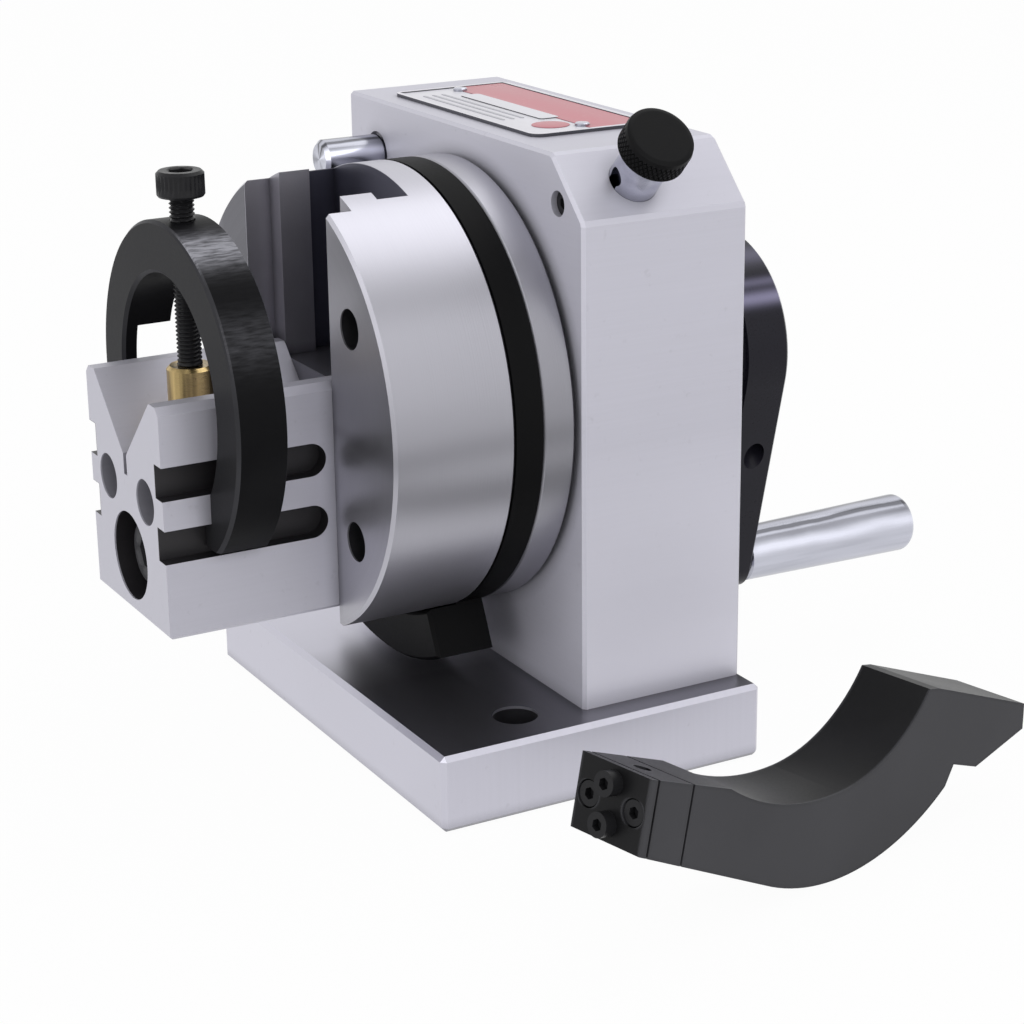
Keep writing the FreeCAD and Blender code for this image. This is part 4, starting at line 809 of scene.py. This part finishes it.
class PF_OT_stage(bpy.types.Operator):
    """Pale floor, soft lamps and the camera"""
    bl_idname = "punch_former.stage"
    bl_label = "Studio"

    def execute(self, context):
        scene = context.scene
        studio = scene.punch_former_studio
        scene.view_settings.view_transform = "Standard"
        mesh = bpy.data.meshes.new("floor")
        half = 8.0
        corners = [(-half, -half, 0), (half, -half, 0), (half, half, 0), (-half, half, 0)]
        mesh.from_pydata(corners, [], [(0, 1, 2, 3)])
        floor = bpy.data.objects.new("floor", mesh)
        floor.location.z = -0.1 * MM
        scene.collection.objects.link(floor)
        mesh.materials.append(self.floor_material())
        self.world(scene, studio.sky)
        self.lamp("key", spot=(0.1, -1.3, 0.75), aim=(0.0, -0.02, 0.07), width=1.4, power=studio.key_power)
        self.lamp("fill", spot=(0.5, 0.15, 1.15), aim=(0.0, 0.0, 0.07), width=0.8, power=studio.fill_power)
        self.lamp("side", spot=(-1.3, -0.2, 0.6), aim=(0.0, 0.0, 0.07), width=1.2, power=studio.side_power)
        self.camera(scene)
        return {"FINISHED"}

    def floor_material(self):
        made = Finish("FloorWhite", roughness=0.9)
        clouds = made.noise(3.0)
        made.set(Base_Color=made.mix(clouds, (0.85, 0.85, 0.85, 1.0), (0.87, 0.87, 0.87, 1.0)))
        seen = made.node("ShaderNodeLightPath", output="Is Camera Ray")
        gloss = made.node("ShaderNodeLightPath", output="Is Glossy Ray")
        through = made.node("ShaderNodeLightPath", output="Is Transmission Ray")
        glow_share = 0.965
        share = (seen + gloss + through).between(0.0, 1.0) * glow_share
        glow = made.node("ShaderNodeEmission", None, Color=WHITE, Strength=1.0)
        lit = Value(made, made.shader.outputs[0])
        mixed = made.node("ShaderNodeMixShader", None, share, lit, glow)
        out = next(node for node in made.tree.nodes if node.type == "OUTPUT_MATERIAL")
        made.tree.links.new(mixed.socket, out.inputs["Surface"])
        return made.material

    def world(self, scene, strength):
        world = bpy.data.worlds.new("Studio")
        world.use_nodes = True
        scene.world = world
        nodes, links = world.node_tree.nodes, world.node_tree.links
        path = nodes.new("ShaderNodeLightPath")
        both = nodes.new("ShaderNodeMath")
        both.operation = "MAXIMUM"
        links.new(path.outputs["Is Camera Ray"], both.inputs[0])
        links.new(path.outputs["Is Glossy Ray"], both.inputs[1])
        level = nodes.new("ShaderNodeMapRange")
        level.inputs["To Min"].default_value = strength
        level.inputs["To Max"].default_value = 1.0
        links.new(both.outputs[0], level.inputs["Value"])
        background = nodes["Background"]
        background.inputs["Color"].default_value = WHITE
        links.new(level.outputs[0], background.inputs["Strength"])

    def lamp(self, name, spot, aim, width, power):
        light = bpy.data.lights.new(name, "AREA")
        light.size = width
        light.energy = power
        lamp = bpy.data.objects.new(name, light)
        lamp.location = spot
        lamp.rotation_euler = (Vector(aim) - Vector(spot)).to_track_quat("-Z", "Y").to_euler()
        bpy.context.scene.collection.objects.link(lamp)

    def camera(self, scene):
        lens = bpy.data.cameras.new("camera")
        lens.sensor_fit = "HORIZONTAL"
        lens.sensor_width = SENSOR_WIDTH
        lens.lens = SENSOR_WIDTH * FOCAL_PIXELS / PICTURE_WIDTH
        camera = bpy.data.objects.new("camera", lens)
        right = Vector(CAMERA_RIGHT).normalized()
        forward = Vector(CAMERA_FORWARD).normalized()
        up = right.cross(forward).normalized()
        turned = Matrix((right, up, -forward)).transposed()
        camera.matrix_world = Matrix.Translation(CAMERA_PLACE) @ turned.to_4x4()
        scene.collection.objects.link(camera)
        scene.camera = camera


OPERATORS = (PF_OT_finishes, PF_OT_clamp_screw, PF_OT_knob, PF_OT_lock_screw, PF_OT_name_plate, PF_OT_stage)


class PF_PT_panel(bpy.types.Panel):
    """Lists the settings and the steps"""
    bl_idname = "PF_PT_panel"
    bl_label = "Punch Former"
    bl_space_type = "VIEW_3D"
    bl_region_type = "UI"
    bl_category = "Punch Former"

    def draw(self, context):
        for group in (context.scene.punch_former_finishes, context.scene.punch_former_sizes,
                      context.scene.punch_former_studio):
            for name in group.__annotations__:
                self.layout.prop(group, name)
        for operator in OPERATORS:
            self.layout.operator(operator.bl_idname)


CLASSES = (PunchFormerFinishes, PunchFormerSizes, PunchFormerStudio) + OPERATORS + (PF_PT_panel,)


def register():
    for item in CLASSES:
        bpy.utils.register_class(item)
    bpy.types.Scene.punch_former_finishes = bpy.props.PointerProperty(type=PunchFormerFinishes)
    bpy.types.Scene.punch_former_sizes = bpy.props.PointerProperty(type=PunchFormerSizes)
    bpy.types.Scene.punch_former_studio = bpy.props.PointerProperty(type=PunchFormerStudio)


def unregister():
    for name in ("punch_former_finishes", "punch_former_sizes", "punch_former_studio"):
        delattr(bpy.types.Scene, name)
    for item in reversed(CLASSES):
        bpy.utils.unregister_class(item)


def main():
    register()
    bpy.ops.punch_former.finishes()
    bpy.ops.punch_former.clamp_screw()
    bpy.ops.punch_former.knob()
    bpy.ops.punch_former.lock_screw()
    bpy.ops.punch_former.name_plate()
    bpy.ops.punch_former.stage()


if __name__ == "__main__":
    main()
